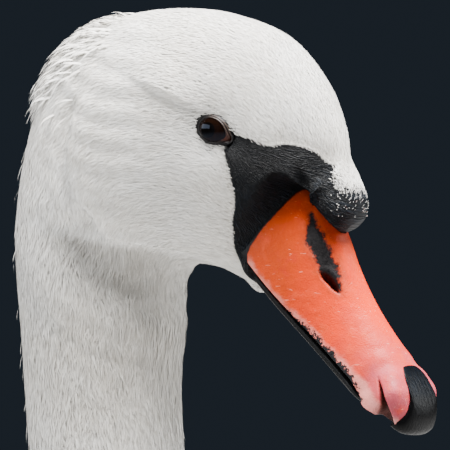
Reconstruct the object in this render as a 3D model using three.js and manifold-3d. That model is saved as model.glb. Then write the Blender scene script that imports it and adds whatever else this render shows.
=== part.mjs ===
// A life-size mute swan at rest on its belly, neck raised in an S and bill held low.
// Millimetres. +X ahead, +Y to the swan's left, +Z up; the belly and feet rest on z = 0.
// The whole bird from bill base to rump is one loft, parted by thin cuts; wings, tail, legs,
// feet, claws, eyes, knob and bill are solids of their own, let into it with a thin gap.

import * as THREE from 'three';
import { mergeVertices } from 'three/addons/utils/BufferGeometryUtils.js';
import Module from 'manifold-3d';

const wasm = await Module();
wasm.setup();

// ---------------------------------------------------------------- driving sizes

const GAP = 0.3; // clearance between neighbouring solids
const WING_GAP = 0.8; // the same round a folded wing, whose faces are large
const FINENESS = 0.15; // slivers and steps smaller than this are merged away
const EYE = { x: 222, z: 716, side: 18.2, radius: 7.2 }; // centre of an eyeball
const SOCKET = { depth: 2.4, reach: 9 }; // the dip that the eye sits in
const BILL_PITCH = THREE.MathUtils.degToRad(46); // bill axis below the horizontal
const GAPE = { x: 6.9, z: -35.3 }; // corner of the mouth, from the eye
const BILL_LENGTH = 81;
const KNOB = { along: 6.4, height: 27.6, length: 11.6, depth: 9.6, side: 10.2 };
const NAIL = { along: 72.4, above: 3.4, side: 8.7, thick: 8.0, length: 11.0, droop: 0.5 };
const NECK_CUTS = [ // planes that part the neck: a point on each, and its lean from level
  { x: 168, z: 657, lean: 0 },
  { x: 178, z: 555, lean: -0.14 },
  { x: 205, z: 452, lean: -0.3 },
  { x: 226, z: 352, lean: 0.02 },
];
const TAIL = { root: -300, tip: -548, rootZ: 186, tipZ: 214, rootHalf: 46, thick: 20, flare: 46 };
const WING = { wrist: 180, tip: -428 };
const FOOT = { heel: -84, side: 98, toe: 128, toeRadius: 5.2, web: 2.2, hallux: 26 };
const SHANK = { length: 106, radius: 8.6, rise: 27 };
const CLAW = { length: 13, radius: 2.9 };

// Sections from the bill base to the throat and nape, measured from the eye:
// dorsal x, dorsal z, ventral x, ventral z, half width, egg (wider above +), squareness
const HEAD_ROWS = [
  [33.6, -11.6, 8.4, -50.6, 11.6, -0.26, 0.92],
  [31.8, 1.8, 1.0, -47.4, 15.6, -0.18, 0.90],
  [25.8, 15.6, -6.8, -44.0, 19.0, -0.10, 0.90],
  [12.6, 29.2, -13.0, -42.8, 21.6, -0.08, 0.92],
  [-7.0, 36.0, -17.8, -42.6, 24.0, -0.06, 0.92],
  [-26.0, 37.4, -21.4, -43.6, 26.0, -0.04, 0.92],
  [-43.6, 34.8, -23.8, -45.4, 27.2, -0.02, 0.94],
  [-58.6, 27.4, -25.2, -47.8, 27.4, 0.0, 0.96],
  [-69.4, 14.8, -25.9, -50.9, 27.2, 0.0, 0.98],
  [-76.2, -2.0, -26.2, -54.8, 26.8, 0.0, 1.0],
  [-80.2, -21.0, -26.3, -59.4, 26.4, 0.0, 1.0],
  [-81.2, -40.0, -26.6, -66.0, 26.0, 0.0, 1.0],
];

// The neck's centre line and radius: x, z, radius, with the way the line runs there (lean
// of its section from level, in radians)
const NECK_ROWS = [
  [168.4, 641, 26.0, -0.26],
  [170.4, 611, 25.2, -0.17],
  [175.2, 572, 25.6, -0.17],
  [184.5, 530, 27.4, -0.25],
  [198.5, 486, 30.6, -0.31],
  [213.5, 442, 35.2, -0.29],
  [225.0, 398, 41.6, -0.18],
  [228.0, 356, 50.0, 0.04],
];

// The cheek stands proud of the neck behind and below a round fold: its centre from the
// eye, the fold's radius and the step there
const CHEEK = { x: -16, z: -6, fold: 35, soft: 9, step: 4.2 };

// Sections of the trunk, in the bird's own frame, in the same order as the head's
const TRUNK_ROWS = [
  [160, 324, 286, 309, 66, 0.0, 1.0],
  [146, 306, 300, 264, 84, -0.04, 0.98],
  [128, 296, 307, 214, 106, -0.08, 0.95],
  [104, 294, 305, 162, 128, -0.10, 0.92],
  [76, 299, 290, 110, 147, -0.10, 0.90],
  [44, 307, 262, 62, 163, -0.08, 0.88],
  [10, 313, 222, 26, 174, -0.06, 0.86],
  [-26, 316, 172, 2, 180, -0.04, 0.86],
  [-64, 315, 112, -12, 182, -0.02, 0.86],
  [-104, 309, 48, -16, 178, 0.0, 0.86],
  [-144, 298, -20, -12, 168, 0.04, 0.88],
  [-184, 282, -92, 0, 152, 0.08, 0.90],
  [-222, 263, -162, 26, 130, 0.10, 0.93],
  [-260, 245, -228, 60, 106, 0.10, 0.96],
  [-298, 230, -282, 98, 82, 0.10, 0.98],
  [-334, 218, -330, 134, 62, 0.06, 1.0],
  [-366, 210, -370, 162, 44, 0.02, 1.0],
  [-388, 204, -394, 182, 26, 0.0, 1.0],
];

// ---------------------------------------------------------------- small tools

const lerp = THREE.MathUtils.lerp;
const power = (value, exponent) => Math.sign(value) * Math.abs(value) ** exponent;

// Smooth curve through rows of numbers, read at a row position such as 3.25.
function along(rows, place) {
  const last = rows.length - 1;
  const at = Math.min(Math.max(place, 0), last);
  const low = Math.min(Math.floor(at), last - 1);
  const t = at - low;
  const row = (i) => rows[Math.min(Math.max(i, 0), last)];
  const [a, b, c, d] = [row(low - 1), row(low), row(low + 1), row(low + 2)];
  return b.map((_, k) => {
    const [p, q, r, s] = [a[k], b[k], c[k], d[k]];
    return q + 0.5 * t * (r - p + t * (2 * p - 5 * q + 4 * r - s + t * (3 * (q - r) + s - p)));
  });
}

// Smooth curve through [place, value, ...] keys, for shapes along a unit length.
function keyed(keys, place) {
  let i = 0;
  while (i < keys.length - 2 && place > keys[i + 1][0]) i += 1;
  const t = (place - keys[i][0]) / (keys[i + 1][0] - keys[i][0]);
  return along(keys, i + Math.min(Math.max(t, 0), 1)).slice(1);
}

// Closed geometry over rings of equal length, capped at both ends by fans.
function ringsToGeometry(rings) {
  const points = rings.flat();
  const count = rings[0].length;
  const middle = (ring) =>
    ring.reduce((sum, p) => sum.add(p), new THREE.Vector3()).multiplyScalar(1 / ring.length);
  points.push(middle(rings[0]), middle(rings.at(-1)));
  const [first, last] = [points.length - 2, points.length - 1];
  const faces = [];
  rings.slice(1).forEach((_, i) => {
    for (let j = 0; j < count; j += 1) {
      const next = (j + 1) % count;
      const [a, b] = [i * count + j, i * count + next];
      const [c, d] = [a + count, b + count];
      faces.push(a, c, b, b, c, d);
    }
  });
  const end = (rings.length - 1) * count;
  for (let j = 0; j < count; j += 1) {
    const next = (j + 1) % count;
    faces.push(first, j, next, last, end + next, end + j);
  }
  const geometry = new THREE.BufferGeometry();
  geometry.setAttribute('position', new THREE.Float32BufferAttribute(
    points.flatMap((p) => [p.x, p.y, p.z]), 3));
  geometry.setIndex(faces);
  return geometry;
}

function toSolid(geometry) {
  const bare = geometry.clone();
  bare.deleteAttribute('normal');
  bare.deleteAttribute('uv');
  const merged = mergeVertices(bare, 1e-3);
  const faces = new Uint32Array(merged.index.array);
  const build = () => new wasm.Manifold(new wasm.Mesh({
    numProp: 3,
    vertProperties: new Float32Array(merged.attributes.position.array),
    triVerts: faces,
  }));
  const solid = build();
  if (solid.volume() > 0) return solid;
  for (let i = 0; i < faces.length; i += 3) [faces[i], faces[i + 1]] = [faces[i + 1], faces[i]];
  return build();
}

function toGeometry(solid) {
  const mesh = solid.getMesh();
  const geometry = new THREE.BufferGeometry();
  const places = [];
  for (let i = 0; i < mesh.numVert; i += 1) {
    places.push(...mesh.vertProperties.slice(i * mesh.numProp, i * mesh.numProp + 3));
  }
  geometry.setAttribute('position', new THREE.Float32BufferAttribute(places, 3));
  geometry.setIndex([...mesh.triVerts]);
  return geometry;
}

// The same solid on the other side of the bird.
const mirrored = (solid) => solid.mirror([0, 1, 0]);

// The largest piece, so that no crumb of a cut is left beside it.
const mainPiece = (solid) =>
  solid.decompose().reduce((best, one) => (one.volume() > best.volume() ? one : best));

// ---------------------------------------------------------------- head, neck and trunk

const neckRow = ([x, z, radius, lean]) => [
  x - radius * Math.cos(lean), z - radius * Math.sin(lean),
  x + radius * Math.cos(lean), z + radius * Math.sin(lean),
  radius * 0.97, 0, 1,
];

const BODY_ROWS = [
  ...HEAD_ROWS.map(([dx, dz, vx, vz, ...rest]) =>
    [EYE.x + dx, EYE.z + dz, EYE.x + vx, EYE.z + vz, ...rest]),
  ...NECK_ROWS.map(neckRow),
  ...TRUNK_ROWS,
];

const smooth = THREE.MathUtils.smoothstep;

// How far the side of the head stands out at a place in the bird's middle plane: the cheek
// ahead of its fold, less the dip round the eye.
function cheek(x, z) {
  const [dx, dz] = [x - EYE.x - CHEEK.x, z - EYE.z - CHEEK.z];
  const away = Math.hypot(dx, dz);
  const behind = smooth(-(0.8 * dx + 0.6 * dz) / (away + 1e-6), -0.5, 0.5);
  const outside = smooth(away, CHEEK.fold - CHEEK.soft, CHEEK.fold + CHEEK.soft) * behind;
  const toEye = Math.hypot(x - EYE.x, z - EYE.z) / SOCKET.reach;
  return CHEEK.step * (1 - outside) - SOCKET.depth * Math.exp(-toEye * toEye);
}

// One section of the body: an egg-shaped ring in the plane of its dorsal and ventral points.
function bodyRing(place, grow = 0, count = 28) {
  const [dx, dz, vx, vz, half, egg, square] = along(BODY_ROWS, place);
  const [cx, cz] = [(dx + vx) / 2, (dz + vz) / 2];
  const reach = Math.hypot(dx - vx, dz - vz) / 2;
  const [ux, uz] = [(dx - cx) / reach, (dz - cz) / reach];
  return Array.from({ length: count }, (_, i) => {
    const angle = (i / count) * 2 * Math.PI;
    const up = power(Math.sin(angle), square);
    const side = power(Math.cos(angle), square) * (1 + egg * up);
    const lift = up * (reach + grow);
    const [x, z] = [cx + ux * lift, cz + uz * lift];
    const proud = place < HEAD_ROWS.length ? cheek(x, z) : 0;
    return new THREE.Vector3(x, side * (half + proud + grow), Math.max(z, 0));
  });
}

function wholeBody(grow = 0) {
  const last = BODY_ROWS.length - 1;
  const places = [];
  for (let place = 0; place <= last; place += place < HEAD_ROWS.length ? 0.5 : 1) {
    places.push(place);
  }
  const rings = places.map((place) => bodyRing(place, grow));
  if (grow > 0) rings.push(rings.at(-1).map((p) => p.clone().setX(p.x - grow)));
  return toSolid(ringsToGeometry(rings));
}

// ---------------------------------------------------------------- bill, nail and knob

// A point of the bill: along its axis, above it, and to the side.
function billPoint(alongAxis, above, side) {
  const [c, s] = [Math.cos(BILL_PITCH), Math.sin(BILL_PITCH)];
  return new THREE.Vector3(
    EYE.x + GAPE.x + alongAxis * c + above * s, side,
    EYE.z + GAPE.z - alongAxis * s + above * c);
}

// Share of the bill's length, ridge height, lower edge, half width, squareness
const UPPER_BILL = [
  [0.004, 25.4, -1.6, 15.6, 0.86],
  [0.08, 25.0, -2.8, 16.0, 0.84],
  [0.20, 22.4, -3.4, 15.6, 0.84],
  [0.34, 17.8, -3.3, 14.2, 0.86],
  [0.48, 14.4, -3.0, 13.4, 0.86],
  [0.62, 12.8, -2.6, 13.8, 0.84],
  [0.76, 12.8, -2.6, 14.5, 0.80],
  [0.87, 10.4, -2.2, 13.0, 0.80],
  [0.94, 6.8, -2.2, 9.4, 0.86],
  [0.98, 3.0, -1.6, 5.0, 0.90],
];
const LOWER_BILL = [
  [0.004, -2.4, -8.4, 13.2, 0.95],
  [0.08, -3.0, -8.8, 13.9, 0.90],
  [0.26, -3.8, -8.4, 13.5, 0.86],
  [0.50, -3.4, -7.0, 12.2, 0.86],
  [0.74, -3.0, -6.0, 12.4, 0.84],
  [0.88, -2.7, -5.2, 9.8, 0.84],
  [0.94, -2.7, -4.4, 5.6, 0.90],
];

// Lofts a bill half: an arch over each share of the length, flat below it.
function billLoft(keys, grow = 0, steps = 10, count = 16) {
  const [from, to] = [keys[0][0], keys.at(-1)[0]];
  const rings = Array.from({ length: steps + 1 }, (_, i) => {
    const share = lerp(from, to, i / steps);
    const [top, low, half, square] = keyed(keys, share);
    return Array.from({ length: count }, (_, j) => {
      const angle = (j / count) * 2 * Math.PI;
      const up = power(Math.sin(angle), square);
      const side = power(Math.cos(angle), square) * (1 - 0.22 * Math.max(up, 0));
      const above = up > 0 ? lerp(low + 2, top, up) : low + 2 + 2 * up;
      return billPoint(share * BILL_LENGTH, above + grow * up, side * (half + grow));
    });
  });
  return toSolid(ringsToGeometry(rings));
}

function ellipsoid(centre, radii, axis = new THREE.Vector3(0, 0, 1), wide = 20, high = 14) {
  const ball = new THREE.SphereGeometry(1, wide, high);
  ball.rotateX(Math.PI / 2);
  ball.scale(...radii);
  ball.applyQuaternion(new THREE.Quaternion().setFromUnitVectors(
    new THREE.Vector3(0, 0, 1), axis.clone().normalize()));
  ball.translate(centre.x, centre.y, centre.z);
  return toSolid(ball);
}

// The knob leans over the bill base: its long axis runs ahead and down along the bill.
function knobSolid(grow = 0) {
  const centre = billPoint(KNOB.along, KNOB.height, 0);
  const ahead = billPoint(KNOB.along + 10, KNOB.height - 5.5, 0).sub(centre);
  return ellipsoid(centre,
    [KNOB.depth + grow, KNOB.side + grow, KNOB.length + grow], ahead, 18, 12);
}

// The nail is the hooked horn plate that caps the last fifth of the upper bill.
function nailSolid(grow = 0) {
  const { along: ahead, above, side, thick, length, droop } = NAIL;
  const centre = billPoint(ahead, above, 0);
  return ellipsoid(centre, [thick + grow, side + grow, length + grow],
    billPoint(ahead + Math.cos(droop), above - Math.sin(droop), 0).sub(centre), 14, 10);
}

// The space that the bill takes out of the face, above the feathered chin: a block ahead of
// the plane where the bill meets the face.
function billRoom() {
  const [low, high, reach, wide] = [-9.0, 25.8, 44, 60];
  const block = new THREE.BoxGeometry(reach, wide, high - low);
  block.translate(reach / 2, 0, (high + low) / 2);
  block.rotateY(BILL_PITCH);
  block.translate(EYE.x + GAPE.x, 0, EYE.z + GAPE.z);
  return toSolid(block);
}

// An oval pit in each side of the upper bill.
function nostrilPit() {
  const centre = billPoint(24.6, 13.6, 9.6);
  return ellipsoid(centre, [1.8, 3.4, 4.6], billPoint(34.6, 8.6, 9.4).sub(centre), 8, 6);
}

// The slit between the side of the upper bill and its hook.
function hookNotch() {
  const centre = billPoint(67.5, -0.6, 13.0);
  return ellipsoid(centre, [1.7, 5.0, 6.0], billPoint(72.4, -5.6, 12.4).sub(centre), 8, 6);
}

// ---------------------------------------------------------------- wings and tail

// Share of the wing's length from wrist to tip: height of the upper edge, of the lower edge,
// widest reach, side place of the upper edge, thickness
const WING_KEYS = [
  [0.00, 206, 168, 104, 84, 9],
  [0.06, 252, 126, 138, 70, 13],
  [0.14, 287, 103, 163, 46, 16],
  [0.25, 312, 90, 184, 20, 18],
  [0.38, 326, 86, 193, 6, 18],
  [0.50, 327, 92, 189, 3, 18],
  [0.62, 314, 112, 172, 3, 17],
  [0.74, 290, 144, 138, 3, 15],
  [0.85, 262, 178, 94, 3, 12],
  [0.94, 241, 204, 58, 3, 8],
  [1.00, 229, 216, 30, 8, 5],
];

// One section of the left wing: an outer arc from its upper to its lower edge, and back
// along the inner face, which is the arc set in by the wing's thickness.
function wingRing(share, grow = 0, arcSteps = 8) {
  const [top, low, reach, inner, thick] = keyed(WING_KEYS, share);
  const x = lerp(WING.wrist, WING.tip, share);
  const middle = lerp(low, top, 0.42);
  const foot = reach - 0.16 * (top - low);
  const outer = Array.from({ length: arcSteps + 1 }, (_, i) => {
    const turn = (i / arcSteps) * Math.PI;
    return turn < Math.PI / 2
      ? [lerp(inner, reach, power(Math.sin(turn), 0.94)),
        middle + (top - middle) * power(Math.cos(turn), 0.94)]
      : [lerp(foot, reach, Math.sin(turn)), middle + (middle - low) * Math.cos(turn)];
  });
  const wall = outer.map(([y, z], i) => {
    const [a, b] = [outer[Math.max(i - 1, 0)], outer[Math.min(i + 1, arcSteps)]];
    const span = Math.hypot(b[0] - a[0], b[1] - a[1]);
    const depth = thick * (0.3 + 0.7 * Math.sin((i / arcSteps) * Math.PI));
    return { y, z, ny: (a[1] - b[1]) / span, nz: (b[0] - a[0]) / span, depth };
  });
  const back = wall.map((p) => [p.y - p.ny * p.depth, p.z - p.nz * p.depth]);
  const outline = [...outer, ...back.reverse()];
  return outline.map(([y, z], i) => {
    const [a, b] = [outline.at(i - 1), outline[(i + 1) % outline.length]];
    const span = Math.hypot(b[0] - a[0], b[1] - a[1]);
    return new THREE.Vector3(
      x, y + grow * ((a[1] - b[1]) / span), z + grow * ((b[0] - a[0]) / span));
  });
}

function wingSolid(grow = 0, steps = 14) {
  const rings = Array.from({ length: steps + 1 }, (_, i) => wingRing(i / steps, grow));
  if (grow > 0) { // room past both ends too
    const pushed = (ring, by) => ring.map((p) => p.clone().setX(p.x + by));
    rings.unshift(pushed(rings[0], grow));
    rings.push(pushed(rings.at(-1), -grow));
  }
  const solid = toSolid(ringsToGeometry(rings));
  const besideMiddle = 1.2 - grow; // the wings stay this far from the bird's middle plane
  return solid.trimByPlane([0, 1, 0], besideMiddle);
}

// The tail is a wedge of long feathers, thin at its edge and drooping a little at its sides.
function tailSolid(grow = 0, steps = 9, count = 14) {
  const rings = Array.from({ length: steps + 1 }, (_, i) => {
    const share = 0.985 * (i / steps);
    const half = (TAIL.rootHalf + TAIL.flare * share) * (1 - share ** 2.4) ** 0.8 + grow;
    const thick = lerp(TAIL.thick, 2.0, share ** 0.8) + grow;
    return Array.from({ length: count }, (_, j) => {
      const angle = (j / count) * 2 * Math.PI;
      const side = Math.cos(angle);
      return new THREE.Vector3(
        lerp(TAIL.root, TAIL.tip, share), side * half,
        lerp(TAIL.rootZ, TAIL.tipZ, share) + thick * Math.sin(angle) - 9 * side * side);
    });
  });
  return toSolid(ringsToGeometry(rings));
}

// ---------------------------------------------------------------- legs and feet

// Turn of each toe from straight ahead, and its share of the middle toe's length
const TOES = [
  { turn: -0.30, share: 0.80 }, // inner
  { turn: 0.05, share: 1.0 }, // middle
  { turn: 0.38, share: 0.93 }, // outer
];

const toeTip = ({ turn, share }) => new THREE.Vector3(
  FOOT.heel + FOOT.toe * share * Math.cos(turn),
  FOOT.side + FOOT.toe * share * Math.sin(turn), 0);

// A tapered rod with round section along a line, flattened where it would pass the floor.
function rod(from, to, radiusFrom, radiusTo, grow = 0, count = 8, steps = 5) {
  const way = to.clone().sub(from);
  const turn = new THREE.Quaternion().setFromUnitVectors(
    new THREE.Vector3(1, 0, 0), way.clone().normalize());
  const rings = Array.from({ length: steps + 1 }, (_, i) => {
    const share = i / steps;
    const ends = Math.sqrt(Math.max(1 - (2 * share - 1) ** 8, 0.12));
    const radius = lerp(radiusFrom, radiusTo, share) * ends + grow;
    const centre = from.clone().addScaledVector(way, share);
    return Array.from({ length: count }, (_, j) => {
      const angle = (j / count) * 2 * Math.PI;
      const point = new THREE.Vector3(0, Math.cos(angle) * radius, Math.sin(angle) * radius);
      point.applyQuaternion(turn).add(centre);
      point.z = Math.max(point.z, 0);
      return point;
    });
  });
  return toSolid(ringsToGeometry(rings));
}

function footSolid(grow = 0) {
  const heel = new THREE.Vector3(FOOT.heel, FOOT.side, FOOT.toeRadius + 0.6);
  const tips = TOES.map((toe) => toeTip(toe).setZ(FOOT.toeRadius - 2.2));
  const toes = tips.map((tip) => rod(heel, tip, FOOT.toeRadius + 1.4, FOOT.toeRadius - 1.6, grow));
  const outline = [heel, ...tips.map((tip, i) => tip.clone().lerp(heel, i === 1 ? 0.05 : 0.04))];
  const shape = new THREE.Shape();
  shape.moveTo(outline[0].x, outline[0].y);
  shape.lineTo(outline[1].x, outline[1].y);
  [2, 3].forEach((i) => { // the web's free edge hangs in between the toes
    const hollow = outline[i - 1].clone().add(outline[i]).multiplyScalar(0.5).lerp(heel, 0.12);
    shape.quadraticCurveTo(hollow.x, hollow.y, outline[i].x, outline[i].y);
  });
  shape.closePath();
  const web = new THREE.ExtrudeGeometry(shape, {
    depth: FOOT.web + grow, bevelEnabled: false, curveSegments: 6 });
  const palm = toSolid(web);
  const hind = new THREE.Vector3(FOOT.heel - FOOT.hallux, FOOT.side - 15, 3.4);
  const hallux = rod(heel, hind, 4.2, 2.8, grow, 8, 4);
  return [...toes, hallux].reduce((sum, one) => sum.add(one), palm);
}

// The shank runs back from the foot to the hock, which the flank half hides.
function shankSolid(grow = 0) {
  const foot = new THREE.Vector3(FOOT.heel + 2, FOOT.side, SHANK.radius + 5.5);
  const hock = new THREE.Vector3(
    FOOT.heel - SHANK.length, FOOT.side - 16, SHANK.radius + SHANK.rise);
  return rod(foot, hock, SHANK.radius - 2, SHANK.radius + 2.4, grow, 10, 6);
}

function clawSolid(toe, grow = 0) {
  const tip = toeTip(toe);
  const ahead = new THREE.Vector3(Math.cos(toe.turn), Math.sin(toe.turn), 0);
  const root = tip.clone().addScaledVector(ahead, -1.5).setZ(CLAW.radius);
  return rod(root, tip.clone().addScaledVector(ahead, CLAW.length).setZ(1.4),
    CLAW.radius, 0.9, grow, 6, 4);
}

// ---------------------------------------------------------------- fitting together

const wing = wingSolid();
const wingRoom = wingSolid(WING_GAP);
const shank = shankSolid();
const foot = footSolid();
const claws = TOES.map((toe) => clawSolid(toe));
const legRoom = TOES.reduce((sum, toe) => sum.add(clawSolid(toe, GAP)),
  footSolid(GAP).add(shankSolid(GAP)));
const eyeball = (grow = 0) => ellipsoid(
  new THREE.Vector3(EYE.x, EYE.side, EYE.z), Array(3).fill(EYE.radius + grow),
  new THREE.Vector3(0, 1, 0), 16, 10);
const bothSides = (solid) => solid.add(mirrored(solid));

const tail = tailSolid().subtract(bothSides(wingRoom)).subtract(wholeBody(2 * GAP));
const body = wholeBody()
  .subtract(bothSides(wingRoom))
  .subtract(bothSides(legRoom))
  .subtract(bothSides(eyeball(GAP)))
  .subtract(knobSolid(GAP))
  .subtract(billRoom())
  .subtract(billLoft(LOWER_BILL, GAP))
  .trimByPlane([0, 0, 1], 0);

const nail = nailSolid();
const upperBill = billLoft(UPPER_BILL)
  .subtract(knobSolid(GAP))
  .subtract(nailSolid(GAP))
  .subtract(bothSides(nostrilPit()))
  .subtract(bothSides(hookNotch()));
const lowerBill = billLoft(LOWER_BILL)
  .subtract(billLoft(UPPER_BILL, GAP))
  .subtract(nailSolid(GAP));
const knob = knobSolid();

// Parts the body into head, three neck lengths and trunk with thin level-ish cuts.
function partBody(solid) {
  const names = ['head', 'neck_upper', 'neck_middle', 'neck_lower', 'trunk'];
  let rest = solid;
  return names.map((name, i) => {
    if (i === NECK_CUTS.length) return [name, mainPiece(rest)];
    const { x, z, lean } = NECK_CUTS[i];
    const normal = [-Math.sin(lean), 0, Math.cos(lean)];
    const offset = normal[0] * x + normal[2] * z;
    const above = rest.trimByPlane(normal, offset + GAP / 2);
    rest = rest.trimByPlane(normal.map((n) => -n), -(offset - GAP / 2));
    return [name, mainPiece(above)];
  });
}

// ---------------------------------------------------------------- the swan

const swan = new THREE.Group();
const finish = (color, roughness, metalness = 0) =>
  new THREE.MeshStandardMaterial({ color, roughness, metalness });
const FINISH = {
  plumage: finish(0xeeeeea, 0.85),
  bareSkin: finish(0x1c1d20, 0.55),
  orangeBill: finish(0xe8703c, 0.45),
  blackHorn: finish(0x17181b, 0.35),
  eye: finish(0x1a0f0a, 0.08),
  legSkin: finish(0x26282b, 0.6),
};

function show(name, solid, material) {
  const mesh = new THREE.Mesh(toGeometry(mainPiece(solid.simplify(FINENESS))), material);
  mesh.name = name;
  swan.add(mesh);
}

function showPair(name, solid, material) {
  show(`${name}_left`, solid, material);
  show(`${name}_right`, mirrored(solid), material);
}

partBody(body).forEach(([name, solid]) => show(name, solid, FINISH.plumage));
showPair('wing', wing, FINISH.plumage);
show('tail', tail, FINISH.plumage);
show('knob', knob, FINISH.bareSkin);
show('bill_upper', upperBill, FINISH.orangeBill);
show('bill_lower', lowerBill, FINISH.blackHorn);
show('bill_nail', nail, FINISH.blackHorn);
showPair('eye', eyeball(), FINISH.eye);
showPair('leg', shank.subtract(footSolid(GAP)), FINISH.legSkin);
showPair('foot', foot, FINISH.legSkin);
claws.forEach((claw, i) => {
  showPair(`claw_${i + 1}`, claw.subtract(footSolid(2 * GAP)), FINISH.blackHorn);
});

// The frame's origin is under the middle of the bird's own box.
const box = new THREE.Box3().setFromObject(swan);
swan.position.x = -(box.min.x + box.max.x) / 2;

export default swan;
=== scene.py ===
"""A life-size mute swan at rest on its belly, dressed in feathers.

Body shapes are worked out in millimetres, with the eye at EYE, +X ahead, +Y to the bird's
left and +Z up, and turned to the frame's metres when a mesh is made. The body is one
surface over two numbers: place, which runs from the knob over the head, down the neck and
along the trunk, and turn, which runs round it from the left side over the back. The coat
is laid on that surface, so it follows the same lie: from the bill back, and down the neck.
"""

import math

import bpy
import numpy as np
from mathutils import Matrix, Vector


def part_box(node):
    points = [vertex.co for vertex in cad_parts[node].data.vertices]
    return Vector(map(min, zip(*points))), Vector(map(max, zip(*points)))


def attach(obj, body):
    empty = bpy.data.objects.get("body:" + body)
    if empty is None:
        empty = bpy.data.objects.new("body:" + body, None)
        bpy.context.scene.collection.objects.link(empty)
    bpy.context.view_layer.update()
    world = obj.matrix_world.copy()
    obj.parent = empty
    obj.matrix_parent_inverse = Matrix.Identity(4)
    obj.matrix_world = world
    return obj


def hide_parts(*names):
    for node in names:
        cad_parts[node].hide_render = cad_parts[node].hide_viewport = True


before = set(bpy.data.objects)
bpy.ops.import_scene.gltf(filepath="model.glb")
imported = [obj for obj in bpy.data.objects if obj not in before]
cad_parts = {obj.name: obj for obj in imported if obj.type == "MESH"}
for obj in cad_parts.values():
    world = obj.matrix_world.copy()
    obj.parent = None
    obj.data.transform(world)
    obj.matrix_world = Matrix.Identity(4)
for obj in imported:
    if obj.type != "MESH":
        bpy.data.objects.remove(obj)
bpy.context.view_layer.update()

ROOT = "root"
MM = 0.001
EYE = np.array([222.0, 716.0])  # x and z of an eye's centre in the shapes' own millimetres
eye_low, eye_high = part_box("eye_right")
SHIFT = (eye_low.x + eye_high.x) / 2 / MM - EYE[0]  # from the shapes' x to the frame's
EYE_SIDE = 18.2  # an eyeball's centre from the middle plane
EYE_RADIUS = 7.2
SOCKET_DEPTH, SOCKET_REACH = 2.4, 9.0
BILL_PITCH = math.radians(46)
GAPE = EYE + np.array([6.9, -35.3])  # corner of the mouth
BILL_LENGTH = 81.0
CHEEK = EYE + np.array([-16.0, -6.0])  # middle of the cheek's round fold
CHEEK_FOLD, CHEEK_SOFT, CHEEK_STEP = 35.0, 9.0, 4.2
CHEEK_CREASE = 36.5  # from the cheek's middle to the crease behind it
JAW_DROP, JAW_SLOPE = 42.0, 0.17  # the jaw's line: how far under the eye, and how it falls
SIDES = (("left", 1), ("right", -1))

# Sections of the body: upper point, lower point, half width, egg, squareness. The knob's
# points are places along the bill and heights above it; the others are x and z, and the
# head's are measured from the eye.
KNOB_ROWS = np.array([
    [18.6, 28.0, 18.2, 23.8, 3.0, 0.0, 1.0],
    [17.2, 31.8, 16.4, 20.4, 7.0, 0.0, 1.0],
    [14.2, 34.3, 13.6, 18.4, 9.3, 0.02, 1.0],
    [10.0, 36.1, 10.0, 17.6, 10.4, 0.04, 1.0],
    [5.0, 37.5, 6.0, 15.4, 10.9, 0.04, 1.0],
])
HEAD_ROWS = np.array([
    [35.4, -7.8, 8.4, -50.6, 11.8, -0.24, 0.92],
    [32.7, 1.9, 1.0, -47.4, 15.4, -0.18, 0.90],
    [25.8, 15.6, -6.8, -44.0, 19.0, -0.10, 0.90],
    [12.6, 29.2, -13.0, -42.8, 21.6, -0.08, 0.92],
    [-7.0, 36.0, -17.8, -42.6, 24.0, -0.06, 0.92],
    [-26.0, 37.4, -21.4, -43.6, 26.0, -0.04, 0.92],
    [-43.6, 34.8, -23.8, -45.4, 27.2, -0.02, 0.94],
    [-58.6, 27.4, -25.2, -47.8, 27.4, 0.0, 0.96],
    [-69.4, 14.8, -25.9, -50.9, 27.2, 0.0, 0.98],
    [-76.2, -2.0, -26.2, -54.8, 26.8, 0.0, 1.0],
    [-80.2, -21.0, -26.3, -59.4, 26.4, 0.0, 1.0],
    [-81.2, -40.0, -26.6, -66.0, 26.0, 0.0, 1.0],
])
# The neck's centre line, radius and lean of its section from level
NECK_ROWS = np.array([
    [168.4, 641, 26.0, -0.26],
    [170.4, 611, 25.2, -0.17],
    [175.2, 572, 25.6, -0.17],
    [184.5, 530, 27.4, -0.25],
    [198.5, 486, 30.6, -0.31],
    [213.5, 442, 35.2, -0.29],
    [225.0, 398, 41.6, -0.18],
    [228.0, 356, 50.0, 0.04],
])
TRUNK_ROWS = np.array([
    [160, 324, 286, 309, 66, 0.0, 1.0],
    [146, 306, 300, 264, 84, -0.04, 0.98],
    [128, 296, 307, 214, 106, -0.08, 0.95],
    [104, 294, 305, 162, 128, -0.10, 0.92],
    [76, 299, 290, 110, 147, -0.10, 0.90],
    [44, 307, 262, 62, 163, -0.08, 0.88],
    [10, 313, 222, 26, 174, -0.06, 0.86],
    [-26, 316, 172, 2, 180, -0.04, 0.86],
    [-64, 315, 112, -12, 182, -0.02, 0.86],
    [-104, 309, 48, -16, 178, 0.0, 0.86],
    [-144, 298, -20, -12, 168, 0.04, 0.88],
    [-184, 282, -92, 0, 152, 0.08, 0.90],
    [-222, 263, -162, 26, 130, 0.10, 0.93],
    [-260, 245, -228, 60, 106, 0.10, 0.96],
    [-298, 230, -282, 98, 82, 0.10, 0.98],
    [-334, 218, -330, 134, 62, 0.06, 1.0],
    [-366, 210, -370, 162, 44, 0.02, 1.0],
    [-388, 204, -394, 182, 26, 0.0, 1.0],
])
HEAD_AT = len(KNOB_ROWS)  # the place where the face meets the bill
NECK_AT = HEAD_AT + len(HEAD_ROWS)
TRUNK_AT = NECK_AT + len(NECK_ROWS)
RUMP_AT = TRUNK_AT + len(TRUNK_ROWS) - 1

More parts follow.
